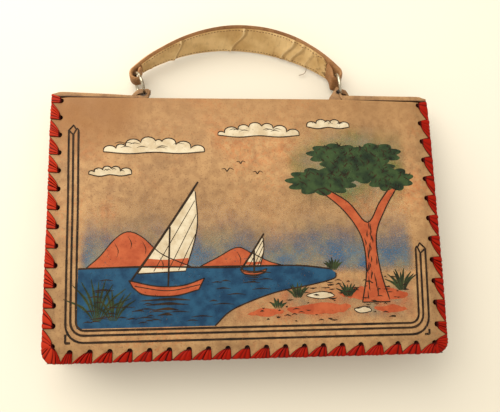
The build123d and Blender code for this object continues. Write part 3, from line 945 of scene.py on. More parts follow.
# Press stud
# A two-part nickelled snap riveted to the facings, pressed from sheet metal: a socket with a
# rolled rim on the front, a round-headed stud on the back.
snap_y, snap_dent_depth, weld_gap = 82 * mm, 0.05 * mm, 0.001 * mm
snap_turns = 40
socket_profile = ((0, 1.6), (3.2, 1.6), (3.4, 0.5), (4.2, 0.5), (4.8, 1.9), (5.6, 2.0), (6.0, 1.4), (5.8, 0))
stud_profile = ((0, 3.0), (1.6, 2.9), (2.2, 2.3), (1.9, 1.6), (2.0, 1.1), (4.6, 1.0), (5.7, 0.7), (6.0, 0))

snap_metal = Finish("snap_metal", {"Metallic": 1.0})
snap_tone = snap_metal.mix(snap_metal.noise(300, 4.0), colour(150, 140, 122), colour(206, 200, 186))
snap_metal.set("Base Color", snap_tone)
snap_metal.set("Roughness", 0.26 + snap_metal.noise(700, 3.0) * 0.2)
snap_metal.bump(snap_metal.noise(900, 2.0), snap_dent_depth, 0.3)


def pressed_disc(profile, stand):
    bm = bmesh.new()
    verts = [bm.verts.new((radius * mm, 0, height * mm)) for radius, height in profile]
    edges = [bm.edges.new(pair) for pair in zip(verts, verts[1:])]
    bmesh.ops.spin(
        bm,
        geom=verts + edges,
        cent=(0, 0, 0),
        axis=(0, 0, 1),
        angle=2 * math.pi,
        steps=snap_turns,
        use_merge=True,
    )
    bmesh.ops.remove_doubles(bm, verts=bm.verts[:], dist=weld_gap)
    close_up(bm)
    bmesh.ops.transform(bm, matrix=stand, verts=bm.verts[:])
    return bm


under_front = front_turn @ Matrix.Rotation(math.pi, 4, "X")
socket_stand = Matrix.Translation(on_front(0, snap_y, -facing_thickness)) @ under_front
stud_stand = Matrix.Translation(on_back(0, snap_y, -facing_thickness))
for name, profile, stand in (
    ("snap_socket", socket_profile, socket_stand),
    ("snap_stud", stud_profile, stud_stand),
):
    piece = add_piece(name + "_pressing", pressed_disc(profile, stand), snap_metal)
    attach(piece, "bag")
    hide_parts(name)

# Side gussets
# Softer hide folded inward like a bellows, deep at the mouth and shallow at the bottom. Its
# flanges lie under the panels' laced edges, its mouth edge is turned over, and at the fold an
# ear stands up and carries the ring.
gusset_thickness, gusset_skin = 1.5 * mm, 1.0 * mm
flange_x, flange_hole_radius = 128.5 * mm, 0.8 * mm
fold_bottom_y, ear_top_y = -83 * mm, 104.6 * mm
hem_y, low_hem_y = {-1: 98.6 * mm, 1: 98.4 * mm}, {-1: 97.4 * mm, 1: 98.8 * mm}
hem_start_x = 145 * mm
ring_x = 76 * mm
fold_mouth_x, fold_bottom_x = {-1: 73.5 * mm, 1: 64.6 * mm}, 127 * mm
fold_mouth_z, fold_mouth_gap, fold_bottom_gap = 13 * mm, 5 * mm, 12 * mm
front_hem_reach, back_hem_reach, ear_reach = 9 * mm, 13 * mm, 6 * mm
ear_top_half, ear_round, ear_fall = 1 * mm, 4 * mm, 3 * mm
hem_end_round, hem_end_fall = 6 * mm, 1.7 * mm
right_ear_top_y, right_ear_lean = 106.2 * mm, 0.75
right_tip_start, right_tip_end = 65 * mm, 75 * mm
right_rim_start, right_rim_end = 72.5 * mm, 86 * mm
arm_spread_start = 100 * mm
flange_columns, arm_columns, fold_columns = 5, 26, 8
gusset_rows, roll_rows, flap_rows = 56, 6, 3
hem_roll, hem_flap = 0.95 * mm, 2.4 * mm
softening_rounds, softening = 7, 0.5
crumple, crumples_per_metre, crumple_seed = 0.9 * mm, 42, 3
ear_slot_y, ear_slot_z = 100.0 * mm, 12.3 * mm
ear_slot_width, ear_slot_length, slot_depth = 2.6 * mm, 4.6 * mm, 7 * mm
sheet_gap = 0.05 * mm
web_y = -83.5 * mm
soft_crease_deg = 60
flange_lift = -sheet_gap - gusset_thickness / 2
back_flange_z = panel_thickness - flange_lift
front_hem_end, back_hem_end = ring_x + front_hem_reach, ring_x + back_hem_reach


def fold_section(y, side):
    """Corner points, outer edge to outer edge, of the folded gusset at one height of the bag."""
    share = (y - fold_bottom_y) / (half_height - fold_bottom_y)
    inner = on_front(0, min(y, half_height), flange_lift).z
    lowest = on_front(0, fold_bottom_y, -gusset_thickness / 2).z
    low = between((back_flange_z + lowest - fold_bottom_gap) / 2, fold_mouth_z, share)
    high = low + between(fold_bottom_gap, fold_mouth_gap, share)
    fold = between(fold_bottom_x, fold_mouth_x[side], share)
    if side > 0 and y > half_height:
        fold = fold_mouth_x[side] + right_ear_lean * (y - half_height)
    back_arm = [(half_width, back_flange_z), (flange_x, back_flange_z), (fold, low)]
    return back_arm + [(fold, high), (flange_x, inner), (half_width, inner)]


def mouth_edge_y(column, x, side):
    """Height of the gusset's top edge: an ear on the back arm, a falling hem on the front arm."""
    fold_middle = flange_columns + arm_columns + fold_columns / 2
    back_arm = column <= fold_middle
    hem_end = back_hem_end if back_arm else front_hem_end
    hem = between(low_hem_y[side], hem_y[side], max(0, (x - hem_end) / (hem_start_x - hem_end)))
    hem -= hem_end_fall * smooth_step(half_width - hem_end_round, half_width, x)
    if side > 0:
        start, end = (right_rim_start, right_rim_end) if back_arm else (right_tip_start, right_tip_end)
        return between(right_ear_top_y, hem, smooth_step(start, end, x))
    if back_arm:
        ear = ear_top_y - ear_fall * smooth_step(ring_x - ear_top_half, ring_x - ear_round, x)
        return between(ear, hem, smooth_step(ring_x + ear_reach, back_hem_end, x))
    return between(ear_top_y - ear_fall, hem, smooth_step(fold_middle, fold_middle + fold_columns, column))


def leg_of(place, counts):
    """Which leg of a folded sheet a line of its grid lies in, and at what share of that leg."""
    leg = 0
    while leg < len(counts) - 1 and place > counts[leg]:
        place -= counts[leg]
        leg += 1
    return leg, place / counts[leg]


def thicken(bm, thickness):
    """Makes a sheet into a closed skin, half its thickness to each side."""
    face_outward(bm)
    bm.normal_update()
    outward = bm.verts.layers.float_vector.new("outward")
    for vert in bm.verts:
        vert[outward] = vert.normal
    far = doubled(bm)
    for vert in bm.verts:
        vert.co += vert[outward] * thickness / 2 * (1 if vert in far else -1)
    bm.verts.layers.float_vector.remove(outward)
    face_outward(bm)


def folded_gusset(side):
    counts = (flange_columns, arm_columns, fold_columns, arm_columns, flange_columns)
    columns = sum(counts)
    rows = gusset_rows + roll_rows + flap_rows
    bm = flat_grid(columns, rows)
    loose = []
    top = fold_section(half_height, side)
    for vert in bm.verts:
        column = round((vert.co.x + unit_half) * columns)
        row = round((vert.co.y + unit_half) * rows)
        leg, share = leg_of(column, counts)
        edge_y = mouth_edge_y(column, between(top[leg][0], top[leg + 1][0], share), side)
        y = between(fold_bottom_y, edge_y, min(row / gusset_rows, 1))
        section = fold_section(y, side)
        x = between(section[leg][0], section[leg + 1][0], share)
        z = between(section[leg][1], section[leg + 1][1], share)
        if flange_columns < column < columns - flange_columns:
            free = math.sin(math.pi * (column - flange_columns) / (columns - 2 * flange_columns))
            z += crumple * free * noise.noise(Vector((x * side, y, crumple_seed)) * crumples_per_metre)
            if 0 < row < gusset_rows:
                loose.append(vert)
        if row > gusset_rows:
            turn = math.pi * min((row - gusset_rows) / roll_rows, 1)
            flap = max(row - gusset_rows - roll_rows, 0) / flap_rows
            y += hem_roll * math.sin(turn) - hem_flap * flap
            z += hem_roll * (1 - math.cos(turn))
        wide_x, low_y = at_mouth(side * x, y)
        vert.co = (between(side * x, wide_x, smooth_step(arm_spread_start, flange_x, x)), low_y, z)
    for _ in range(softening_rounds):
        bmesh.ops.smooth_vert(
            bm, verts=loose, factor=softening, use_axis_x=True, use_axis_y=False, use_axis_z=True
        )
    thicken(bm, gusset_skin)
    return bm


def slot_cutter(side):
    bm = bmesh.new()
    stretch = Matrix.Diagonal((1, ear_slot_length / ear_slot_width, 1, 1))
    stand = Matrix.Translation((side * ring_x, ear_slot_y, ear_slot_z)) @ stretch
    add_cutter(bm, ear_slot_width / 2, slot_depth, stand)
    return bm


def punch_flanges(piece):
    """Pierces the flanges of a gusset under the holes of both panels."""
    punch(piece, hole_cutters(on_front, front_turn, flange_hole_radius), soft_crease_deg)
    punch(piece, hole_cutters(on_back, flat_turn, flange_hole_radius), soft_crease_deg)


# Painted shade on the gusset: a shadow line under the hem, a shadow in each ear's slot, and darkened flanges
# in the lace holes
hem_line, hem_line_half = 95.7 * mm, 1.0 * mm
ear_dark_x, ear_dark_y, ear_dark_rise = 3.6 * mm, 2.8 * mm, 0.4 * mm
right_dark_shift, right_dark_rise, right_dark_shrink = 1.2 * mm, 2.7 * mm, 0.8
flange_start, flange_end, hole_shade_start, hole_shade_end = 129 * mm, 131 * mm, 1 * mm, 3 * mm

gusset_leather = leather("gusset_leather", *soft_hide)
gusset_x, gusset_y = gusset_leather.axis("X"), gusset_leather.axis("Y")
from_middle = (gusset_x**2) ** 0.5
# Painted shadow: a thin dark line on the gusset just under the hem, following the sagging right corner
line_drop = gusset_leather.band(gusset_x, half_width * sag_start_share, half_width) * right_corner_drop
line_gap = (gusset_y + line_drop - hem_line) / hem_line_half
hem_shadow = gusset_leather.band(line_gap * line_gap, 1.0, 0.4)
# Painted shadow in each ear's slot round the ring wire, moved, raised and shrunk on the right ear
on_right = gusset_leather.band(gusset_x, 0, ring_x)
ear_gap_x = (from_middle - ring_x + on_right * right_dark_shift) / ear_dark_x
ear_gap_y = (gusset_y - on_right * right_dark_rise - ear_slot_y - ear_dark_rise) / ear_dark_y
ear_gap = (ear_gap_x * ear_gap_x + ear_gap_y * ear_gap_y) * (on_right * right_dark_shrink + 1)
painted_slot_shade = gusset_leather.band(ear_gap, 1.2, 0.3)
# Painted shade on the side and bottom flanges, seen through the lace holes so that they look dark inside
side_flange = gusset_leather.band(from_middle, flange_start, flange_end)
side_flange = side_flange * gusset_leather.band(gusset_y, half_height - hole_shade_start, half_height - hole_shade_end)
low_flange = gusset_leather.band(gusset_y, web_y - hole_shade_start, web_y - hole_shade_end)
painted_hole_shade = side_flange.math("MAXIMUM", side_flange, low_flange)
gusset_tone = gusset_leather.soiled(
    gusset_leather.tone,
    (hem_shadow, 0.9, colour(62, 34, 6)),
    (painted_slot_shade, 0.95, colour(16, 9, 4)),
    (painted_hole_shade, 0.9, colour(24, 14, 8)),
)
gusset_leather.set("Base Color", gusset_tone)
for name, side in (("gusset_left", -1), ("gusset_right", 1)):
    piece = add_piece(name + "_bellows", folded_gusset(side), gusset_leather, soft_crease_deg)
    punch(piece, slot_cutter(side), soft_crease_deg)
    punch_flanges(piece)
    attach(piece, "bag")
    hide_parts(name)

# Bottom gusset
# One strip of the gusset hide round the bottom, its long edges turned under the panels' laced
# edges and its ends meeting the side gussets at the corners.
web_columns, web_flange_rows, web_middle_rows = 100, 4, 10
web_slack, web_slack_share, web_waves = 1.6 * mm, 0.4, (3, 40, 5)
web_corner_share = 0.35


def bottom_strip():
    front, front_edge = [on_front(0, y, flange_lift).z for y in (web_y, -half_height)]
    route = [(-half_height, back_flange_z), (web_y, back_flange_z)]
    route += [(web_y, front), (-half_height, front_edge)]
    counts = (web_flange_rows, web_middle_rows, web_flange_rows)
    bm = flat_grid(web_columns, sum(counts))
    for vert in bm.verts:
        leg, share = leg_of(round((vert.co.y + unit_half) * sum(counts)), counts)
        y = between(route[leg][0], route[leg + 1][0], share)
        z = between(route[leg][1], route[leg + 1][1], share)
        x = vert.co.x * 2
        if leg == 1:
            slack = web_slack * math.sin(math.pi * share)
            y += slack * (web_slack_share + drift(x, z, *web_waves))
            reach = flange_x
        else:
            depth = (y + half_height) / (web_y + half_height)
            reach = between(half_width - corner_radius * web_corner_share, flange_x, depth)
        vert.co = (x * reach, y, z)
    thicken(bm, gusset_skin)
    return bm


bottom_piece = add_piece("gusset_bottom_strip", bottom_strip(), gusset_leather, soft_crease_deg)
punch_flanges(bottom_piece)
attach(bottom_piece, "bag")
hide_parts("gusset_bottom")

# Lacing
# A flat red thong whipped round both laced edges. At each hole several turns are drawn together,
# so a stitch is a pleated fan: bunched in the hole, spread over the edge behind it.
stack = seam_thickness + gusset_thickness + 2 * sheet_gap
left_lead_shares, bottom_lead_shares, right_lead_shares = (0.10, 0.16), (0.12, 0.28), (0.12, 0.28)
left_trail_share, bottom_trail_share, right_trail_share = 0.90, 0.88, 0.94
spread_power = 0.72
corner_reach = 12 * mm
neck_half, neck_shift = 1.9 * mm, 0.1 * mm
neck_widening, inner_pass = 0.4, 6 * mm
pleat_choices, corner_pleats, first_pleats = (3, 4, 4, 5), 7, 3
pleat_columns = 5
pleat_depth, lace_base, lace_swell, lace_grain_depth = 0.85 * mm, 0.28 * mm, 0.35 * mm, 0.12 * mm
first_overlap, corner_overlap, lit_side_reach = 1 * mm, 0.8 * mm, 4 * mm
swing_share, lurch_share, depth_shares, pleat_shares = 0.05, 0.09, (0.8, 1.15), (0.65, 1.15)
ridge_power, lace_crease_deg = 0.55, 75
puff_floor_share, puff_rise_share, puff_turn, puff_start = 0.55, 0.45, 0.8, 0.3
neck_steepness, rim_steepness, neck_end_share, last_fold_gap = 5, 3, 0.16, 0.01
first_stitch_rise, first_stitch_end = 3.0 * mm, 4.4 * mm
lace_seed = 11
# The way of a stitch: shares of the way from its hole to the edge, with the lift in lace bases
hole_depth_share, swell_share, rim_depth_shares = 0.4, 0.02, (0.25, 0.75)
upper_way = ((0.16, 1), (0.45, 0.7), (0.80, 0.5), (0.96, 0.1))
lower_way = ((0.96, 0.1), (0.60, 0.3), (0.20, 0.4), (0, 0.4), (-0.20, 0.4), (-0.45, 0.4))
side_run = panel_height - corner_radius
turn_run = math.pi / 2 * corner_radius
base_run = panel_width - 2 * corner_radius


def corner_point(side, angle):
    middle = Vector((side * (half_width - corner_radius), corner_radius - half_height))
    return middle + corner_radius * Vector((math.cos(angle), math.sin(angle)))


def laced_edge(run):
    """Point of the laced edge, run metres from the top left corner round the bag."""
    if run < side_run:
        return Vector((-half_width, half_height - run))
    run -= side_run
    if run < turn_run:
        return corner_point(-1, math.pi + run / corner_radius)
    run -= turn_run
    if run < base_run:
        return Vector((-half_width + corner_radius + run, -half_height))
    run -= base_run
    if run < turn_run:
        return corner_point(1, 1.5 * math.pi + run / corner_radius)
    return Vector((half_width, -half_height + corner_radius + run - turn_run))


def left_run_of(hole):
    return half_height - hole.y


def bottom_run_of(hole):
    return side_run + turn_run + hole.x + half_width - corner_radius


def right_run_of(hole):
    return side_run + 2 * turn_run + base_run + hole.y + half_height - corner_radius


def stitch_list(dice):
    """Hole, first and last run along the edge, and pleats of each stitch."""
    stitches = [(left_holes[0], -first_stitch_rise, first_stitch_end, first_pleats)]
    left_end = side_run + turn_run + corner_reach - corner_radius
    right_end = side_run + 2 * turn_run + base_run + corner_reach - corner_radius
    for holes, run_of, first_start, lead_shares, trail_share in (
        (left_holes, left_run_of, first_stitch_end - first_overlap, left_lead_shares, left_trail_share),
        (bottom_holes, bottom_run_of, left_end, bottom_lead_shares, bottom_trail_share),
        (right_holes, right_run_of, right_end, right_lead_shares, right_trail_share),
    ):
        pitch = (holes[2] - holes[1]).length
        for index, hole in enumerate(holes[1:]):
            start = run_of(hole) - trail_share * pitch if index else first_start
            end = run_of(hole) + between(*lead_shares, index / len(holes)) * pitch
            stitches.append((hole, start, end, dice.choice(pleat_choices)))
    for hole, start, end in (
        (left_corner, left_run_of(left_corner), left_end),
        (right_corner, bottom_run_of(right_corner), right_end),
    ):
        stitches.append((hole, start + corner_overlap, end + corner_overlap, corner_pleats))
    return stitches


def fan(bm, place, stitch, dice, pleat_shade_layer):
    """One stitch: out of its hole, over the edge, and back to the hole on the inner side."""
    hole, first, last, folds = stitch
    top, under = seam_thickness, seam_thickness - stack
    route = [(0, between(top, under, hole_depth_share)), (swell_share, top + lace_swell)]
    route += [(share, top + lace_base * lift) for share, lift in upper_way]
    route += [(1, between(top, under, share)) for share in rim_depth_shares]
    route += [(share, under - lace_base * lift) for share, lift in lower_way]
    path = smooth_run([(share, lift / mm) for share, lift in route], quick_steps)
    columns = folds * pleat_columns
    made = bmesh.ops.create_grid(bm, x_segments=columns, y_segments=len(path) - 1, size=unit_half)["verts"]
    swing = dice.uniform(-swing_share, swing_share) * (last - first)
    depth = pleat_depth * dice.uniform(*depth_shares)
    lurch = dice.uniform(-lurch_share, lurch_share)
    heights = [dice.uniform(*pleat_shares) for _ in range(folds + 1)]
    toward_edge = (laced_edge((first + last) / 2) - hole).normalized()
    for vert in made:
        across = vert.co.x + unit_half
        step = round((vert.co.y + unit_half) * (len(path) - 1))
        share, lift = path[step].x, path[step].y * mm
        before, after = path[max(step - 1, 0)], path[min(step + 1, len(path) - 1)]
        edge = laced_edge(between(first, last, across) + swing * math.sin(math.pi * across))
        along = (laced_edge(last) - laced_edge(first)).normalized()
        inside = max(0, -share)
        half = neck_half * (1 + neck_widening * min(1, inside * neck_steepness))
        neck = hole + toward_edge * neck_shift + along * between(-half, half, across)
        reach = (edge - hole).length
        sideways = along * (edge - neck).dot(along)
        spot = neck + (edge - neck - sideways) * max(0, share) + sideways * max(0, share) ** spread_power
        spot = spot - toward_edge * inside * inner_pass
        slope = Vector((-(after.y - before.y) * mm, (after.x - before.x) * reach))
        slope = slope.normalized() if slope.length else Vector((0, 1))
        fold = folds * (across + lurch * math.sin(2 * math.pi * across))
        ridge = abs(math.sin(math.pi * fold)) ** ridge_power * heights[int(min(fold, folds - last_fold_gap))]
        swell = math.sin(math.pi * min(max(share, 0), 1) * puff_turn + puff_start)
        puff = depth * ridge * (puff_floor_share + puff_rise_share * swell)
        rim = min(across, 1 - across) * folds
        puff += lace_base * min(rim * rim_steepness, 1)
        outward = (edge - neck).normalized()
        spot = spot + outward * slope.x * puff
        # Painted shade: the lace is darker between its pleats and where it goes into the hole
        vert[pleat_shade_layer] = ridge * smooth_step(0, neck_end_share, share)
        vert.co = place(spot.x, spot.y, lift + slope.y * puff)


def lacing(place):
    bm = bmesh.new()
    layer = bm.verts.layers.float.new("pleat")
    dice = random.Random(lace_seed)
    for stitch in stitch_list(dice):
        fan(bm, place, stitch, dice, layer)
    face_outward(bm)
    return bm


lace = Finish("lace", {"Specular IOR Level": 0.06})
ridge = lace.own("pleat")
worn = lace.patches(150, 4.0, 0.45, 0.75)
# Painted highlight: the pleat crowns of the lace on the left side, towards the window light, are lightened
fade_and_highlight = lace.band(lace.axis("X") * -1, hole_x - lit_side_reach, hole_x) * lace.band(ridge, 0.3, 0.9)
# Painted shade: dark in the grooves between pleats and in the holes, full red on the pleat crowns
lace_tone = lace.soiled(
    lace.mix(lace.band(ridge, 0.10, 0.80), colour(46, 5, 2), colour(136, 16, 1)),
    (worn * lace.band(ridge, 0.6, 1.0), 0.5, colour(156, 38, 10)),
    (fade_and_highlight, 0.6, colour(174, 50, 22)),
)
lace.set("Base Color", lace_tone)
lace.set("Roughness", 0.36 + lace.noise(260, 3.0) * 0.2)
lace.bump(lace.noise(800, 3.0), lace_grain_depth, 0.4)
for name, place in (("lacing_front", on_front), ("lacing_back", on_back)):
    piece = add_piece(name + "_thong", lacing(place), lace, lace_crease_deg)
    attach(piece, "bag")
    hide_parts(name)

# Rings
# Two rings bent from steel wire, their ends butted, each through the ear of a side gusset. The
# plating is dull and spotted.
ring_radius, ring_wire_radius = 9.7 * mm, 1.1 * mm
ring_y, ring_z = ear_slot_y + ring_radius, 12.309 * mm
ring_gap_deg, wire_crease_deg, pit_depth = 3, 50, 0.06 * mm
wire_sides, ring_steps = 14, 72
ring_stands = (("ring_left", -1, 19, 14), ("ring_right", 1, 7, 0))

ring_steel = Finish("ring_steel", {"Metallic": 1.0})
spots = ring_steel.patches(420, 4.0, 0.50, 0.70)
ring_steel.set("Base Color", ring_steel.mix(spots, colour(178, 168, 146), colour(112, 96, 74)))
ring_steel.set("Roughness", 0.26 + spots * 0.3)
ring_steel.bump(ring_steel.noise(700, 3.0), pit_depth, 0.4)
for name, side, lean_deg, tilt_deg in ring_stands:
    lean = Matrix.Rotation(math.radians(lean_deg), 3, "Z")
    turn = lean @ Matrix.Rotation(math.radians(tilt_deg), 3, "Y")
    bm = bmesh.new()
    wire = bmesh.ops.create_circle(bm, segments=wire_sides, radius=ring_wire_radius)["verts"]
    bmesh.ops.translate(bm, verts=wire, vec=(side * ring_x, ring_y + ring_radius, ring_z))
    bmesh.ops.spin(
        bm,
        geom=bm.verts[:] + bm.edges[:],
        cent=(side * ring_x, ring_y, ring_z),
        axis=(1, 0, 0),
        angle=math.radians(360 - ring_gap_deg),
        steps=ring_steps,
    )
    close_up(bm)
    bmesh.ops.rotate(bm, verts=bm.verts[:], cent=(side * ring_x, ear_slot_y, ring_z), matrix=turn)
    piece = add_piece(name + "_wire", bm, ring_steel, wire_crease_deg)
    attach(piece, name)
    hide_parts(name)

# Handle strap
# A bowed strap of leather like the panels', widest in the middle, folded back round each ring and sewn.
# It stands as an arch and leans, so that its underside shows.
strap_lean, strap_twist, strap_rise = math.radians(24), math.radians(11), math.radians(6.5)
strap_thickness = 2.4 * mm
strap_half, strap_end_half, strap_middle = 12.5 * mm, 6.2 * mm, 8 * mm
arch_half_angle = math.radians(40.5)
left_eye_reach, right_eye_reach = math.radians(2.6), math.radians(4.4)
eye_radius, ring_to_arch = 3.8 * mm, 4.8 * mm
eye_narrow_share, left_end_rise, end_rise_share = 0.8, 0.6 * mm, 0.7
eye_blend_start, eye_blend_end = 2, 4
tip_tuck_share, knee_tuck_share, knee_share = 1.05, 1.7, 0.5
arch_span_deg, arch_step_deg = 38, 2
strap_wander, strap_waves, band_power = 0.25 * mm, (60, 90, 2), 8
ring_play, strap_spread = -3.85 * mm, 1.022
arch_origin = Vector((ring_play, 116.365 * mm, 9.030 * mm))
arch_up = Vector((0, math.cos(strap_rise), math.sin(strap_rise)))
arch_radius = ring_x / math.sin(arch_half_angle) + ring_to_arch
arch_middle = -ring_x / math.tan(arch_half_angle)
strap_reach = 83.2 * mm
strap_sides, eye_steps = 28, 10


def arch_point(angle, radius):
    """Point of the arch's own plane at an angle from its top."""
    return Vector((radius * math.sin(angle), arch_middle + radius * math.cos(angle)))


def on_handle(flat, across):
    """A point of the arch's plane, moved across the leaning and slightly twisted strap."""
    lean = strap_lean + strap_twist * flat.x / ring_x
    rise = left_end_rise * smooth_step(ring_x * end_rise_share, ring_x, -flat.x)
    step = Vector((flat.x * strap_spread, math.sin(lean) * across + rise, math.cos(lean) * across))
    return arch_origin + step + arch_up * flat.y


def strap_half_width(x):
    return between(strap_half, strap_end_half, min(1, ((x - strap_middle) / strap_reach) ** 2))


def eye_turn(side, reach):
    """The strap's way round a ring, from the folded-back end to the arch."""
    tip = side * (arch_half_angle - reach)
    knee = side * (arch_half_angle - reach * knee_share)
    points = [arch_point(tip, arch_radius - strap_thickness * tip_tuck_share)]
    points.append(arch_point(knee, arch_radius - strap_thickness * knee_tuck_share))
    start = math.pi / 2 - side * arch_half_angle
    middle = arch_point(side * arch_half_angle, arch_radius - eye_radius)
    for step in range(eye_steps + 1):
        angle = start - side * math.pi * (1 - step / eye_steps)
        points.append(middle + eye_radius * Vector((math.cos(angle), math.sin(angle))))
    return points


arch_degrees = range(-arch_span_deg, arch_span_deg + 1, arch_step_deg)
arch_steps = [arch_point(math.radians(degree), arch_radius) for degree in arch_degrees]
left_eye, right_eye = eye_turn(-1, left_eye_reach), eye_turn(1, right_eye_reach)
strap_route = smooth_run(left_eye + arch_steps + right_eye[::-1], quick_steps)


def banded(route, half_width_at, thickness, sides, shape):
    """A flat closed band along a route in the arch's plane."""
    bm = flat_grid(sides, len(route) - 1)
    crease = bm.verts.layers.float.new("crease")
    for vert in bm.verts:
        turn = vert.co.x + unit_half
        step = round((vert.co.y + unit_half) * (len(route) - 1))
        ahead = route[min(step + 1, len(route) - 1)] - route[max(step - 1, 0)]
        outward = Vector((-ahead.y, ahead.x)).normalized()
        across = 1 - 4 * abs(turn - unit_half)
        rise = math.sqrt(max(0, 1 - abs(across) ** band_power)) * (1 if turn < unit_half else -1)
        half = half_width_at(route[step].x)
        flat, across, vert[crease] = shape(route[step], outward, across * half, rise * thickness / 2, step)
        vert.co = on_handle(flat, across)
    bmesh.ops.remove_doubles(bm, verts=bm.verts[:], dist=weld_gap)
    close_up(bm)
    return bm


def strap_shape(point, outward, across, rise, step):
    wander = strap_wander * drift(point.x, across, *strap_waves)
    from_end = min(step, len(strap_route) - 1 - step)
    blend = smooth_step(len(left_eye) * eye_blend_start, len(left_eye) * eye_blend_end, from_end)
    across *= between(eye_narrow_share, 1, blend)
    return point + outward * (rise + wander), across, 0


strap_leather = leather(
    "strap_leather", colour(184, 138, 90), colour(144, 100, 58), colour(156, 98, 50), 0.5
)
strap_mesh = banded(strap_route, strap_half_width, strap_thickness, strap_sides, strap_shape)
strap_piece = add_piece("handle_strap_hide", strap_mesh, strap_leather, soft_crease_deg)
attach(strap_piece, "handle")
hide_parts("handle_strap")

# Handle lining
# A thin strip of tan leather glued and sewn to the underside of the strap. It is dry, has come
# loose in creases across, and its right end has torn off before the seam.
lining_leaf = 1.0 * mm
lining_top_margin, lining_low_margin = 1.1 * mm, 0.3 * mm
lining_gap = 0.1 * mm
lining_left, lining_right = math.radians(37.0), math.radians(36.0)
lining_radius = arch_radius - (strap_thickness + lining_leaf) / 2 - lining_gap
lining_sides, lining_steps = 36, 240
tear_depth, tear_rows = 6.0 * mm, 30
crease_width, crease_lip = 2.4 * mm, 0.8 * mm
# Where the painted shadow behind each crease lies and how wide it is
crease_shadow_gap, crease_shadow_width, crack_depth = 2.0 * mm, 1.3 * mm, 0.22 * mm
lining_wander, lining_waves = 0.10 * mm, (0.09, 260, 5)
jag_waves, fine_jag_waves, tear_share, tear_slant_share = (330, 3, 1), (900, 7, 1), 0.35, 0.5
crease_bend_share = 0.4
# Each crease: its share of the length, how high it stands and how far it slants
lining_creases = (
    (0.06, 0.35, 1.0),
    (0.20, 1.10, 3.0),
    (0.34, 0.20, 0.8),
    (0.44, 0.40, 1.4),
    (0.51, 1.10, 4.6),
    (0.62, 0.20, 0.8),
    (0.70, 0.25, 1.0),
    (0.77, 1.10, 4.0),
    (0.82, 0.90, 4.2),
    (0.89, 0.60, 3.0),
    (0.95, 0.50, -1.6),
)
lining_length = lining_radius * (lining_left + lining_right)

lining_route = [
    arch_point(between(-lining_left, lining_right, step / lining_steps), lining_radius)
    for step in range(lining_steps + 1)
]


def lining_half_at(x):
    return strap_half_width(x) - (lining_top_margin + lining_low_margin) / 2


def crease_gaps(step, across):
    """Rise of each crease, and how far past it a point lies."""
    place = across / strap_half
    for share, rise, sway in lining_creases:
        slant = sway * mm * (place + crease_bend_share * math.sin(math.pi * place))
        yield rise, (step / lining_steps - share) * lining_length - slant


def crease_height(step, across):
    """How far the loose lining stands off the strap."""
    height = lining_wander * drift(step, across, *lining_waves)
    for rise, gap in crease_gaps(step, across):
        reach = crease_width if gap < 0 else crease_lip
        height += rise * mm * math.exp(-((gap / reach) ** 2))
    return height


def crease_light_and_shade(step, across):
    """Painted light on a crease: above zero for a painted highlight along it, below zero for the painted
    shadow behind it.
    """
    wear_and_crease_light = 0
    for rise, gap in crease_gaps(step, across):
        wear_and_crease_light += rise * math.exp(-((gap / crease_lip) ** 2))
        wear_and_crease_light -= rise * math.exp(-(((gap - crease_shadow_gap) / crease_shadow_width) ** 2))
    return wear_and_crease_light


def lining_shape(point, outward, across, rise, step):
    ahead = Vector((outward.y, -outward.x))
    end = smooth_step(lining_steps - tear_rows, lining_steps, step)
    jag = drift(across, 1, *jag_waves) + drift(across, 1, *fine_jag_waves) / 2
    torn = tear_depth * end * (tear_share + jag + tear_slant_share * across / strap_half)
    loose = crease_height(step, across) if rise < 0 else 0
    # Painted highlight and shadow of the creases, kept in the crease attribute
    wear_and_crease_light = crease_light_and_shade(step, across)
    across += (lining_low_margin - lining_top_margin) / 2
    return point - ahead * torn + outward * (rise - loose), across, wear_and_crease_light


strap_lining = Finish("strap_lining", {"Specular IOR Level": 0.3})
lengthwise = strap_lining.stretch(1, 0.25, 0.25)
hairlines = strap_lining.patches(520, 5.0, 0.58, 0.68, lengthwise)
crease = strap_lining.own("crease")
fade_and_highlight = strap_lining.patches(48, 6.0, 0.34, 0.68)
# The lining's tone, with a painted highlight along each crease and painted shadow behind it
lining_tone = strap_lining.soiled(
    strap_lining.mix(fade_and_highlight, colour(192, 152, 92), colour(226, 190, 130)),
    (hairlines, 0.18, colour(150, 110, 64)),
    (strap_lining.patches(210, 5.0, 0.55, 0.74), 0.28, colour(160, 118, 68)),
    (strap_lining.band(crease, 0.15, 0.9), 0.55, colour(242, 214, 160)),
    (strap_lining.band(crease * -1, 0.1, 0.9), 0.45, colour(142, 106, 58)),
)
strap_lining.set("Base Color", lining_tone)
strap_lining.set("Roughness", 0.55 + strap_lining.noise(200, 3.0) * 0.25)
strap_lining.bump(strap_lining.noise(420, 4.0) * 0.6 - hairlines * 0.6, crack_depth, 0.6)
lining_mesh = banded(lining_route, lining_half_at, lining_leaf, lining_sides, lining_shape)
lining_piece = add_piece("handle_lining_leaf", lining_mesh, strap_lining, soft_crease_deg)
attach(lining_piece, "handle")
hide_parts("handle_lining")

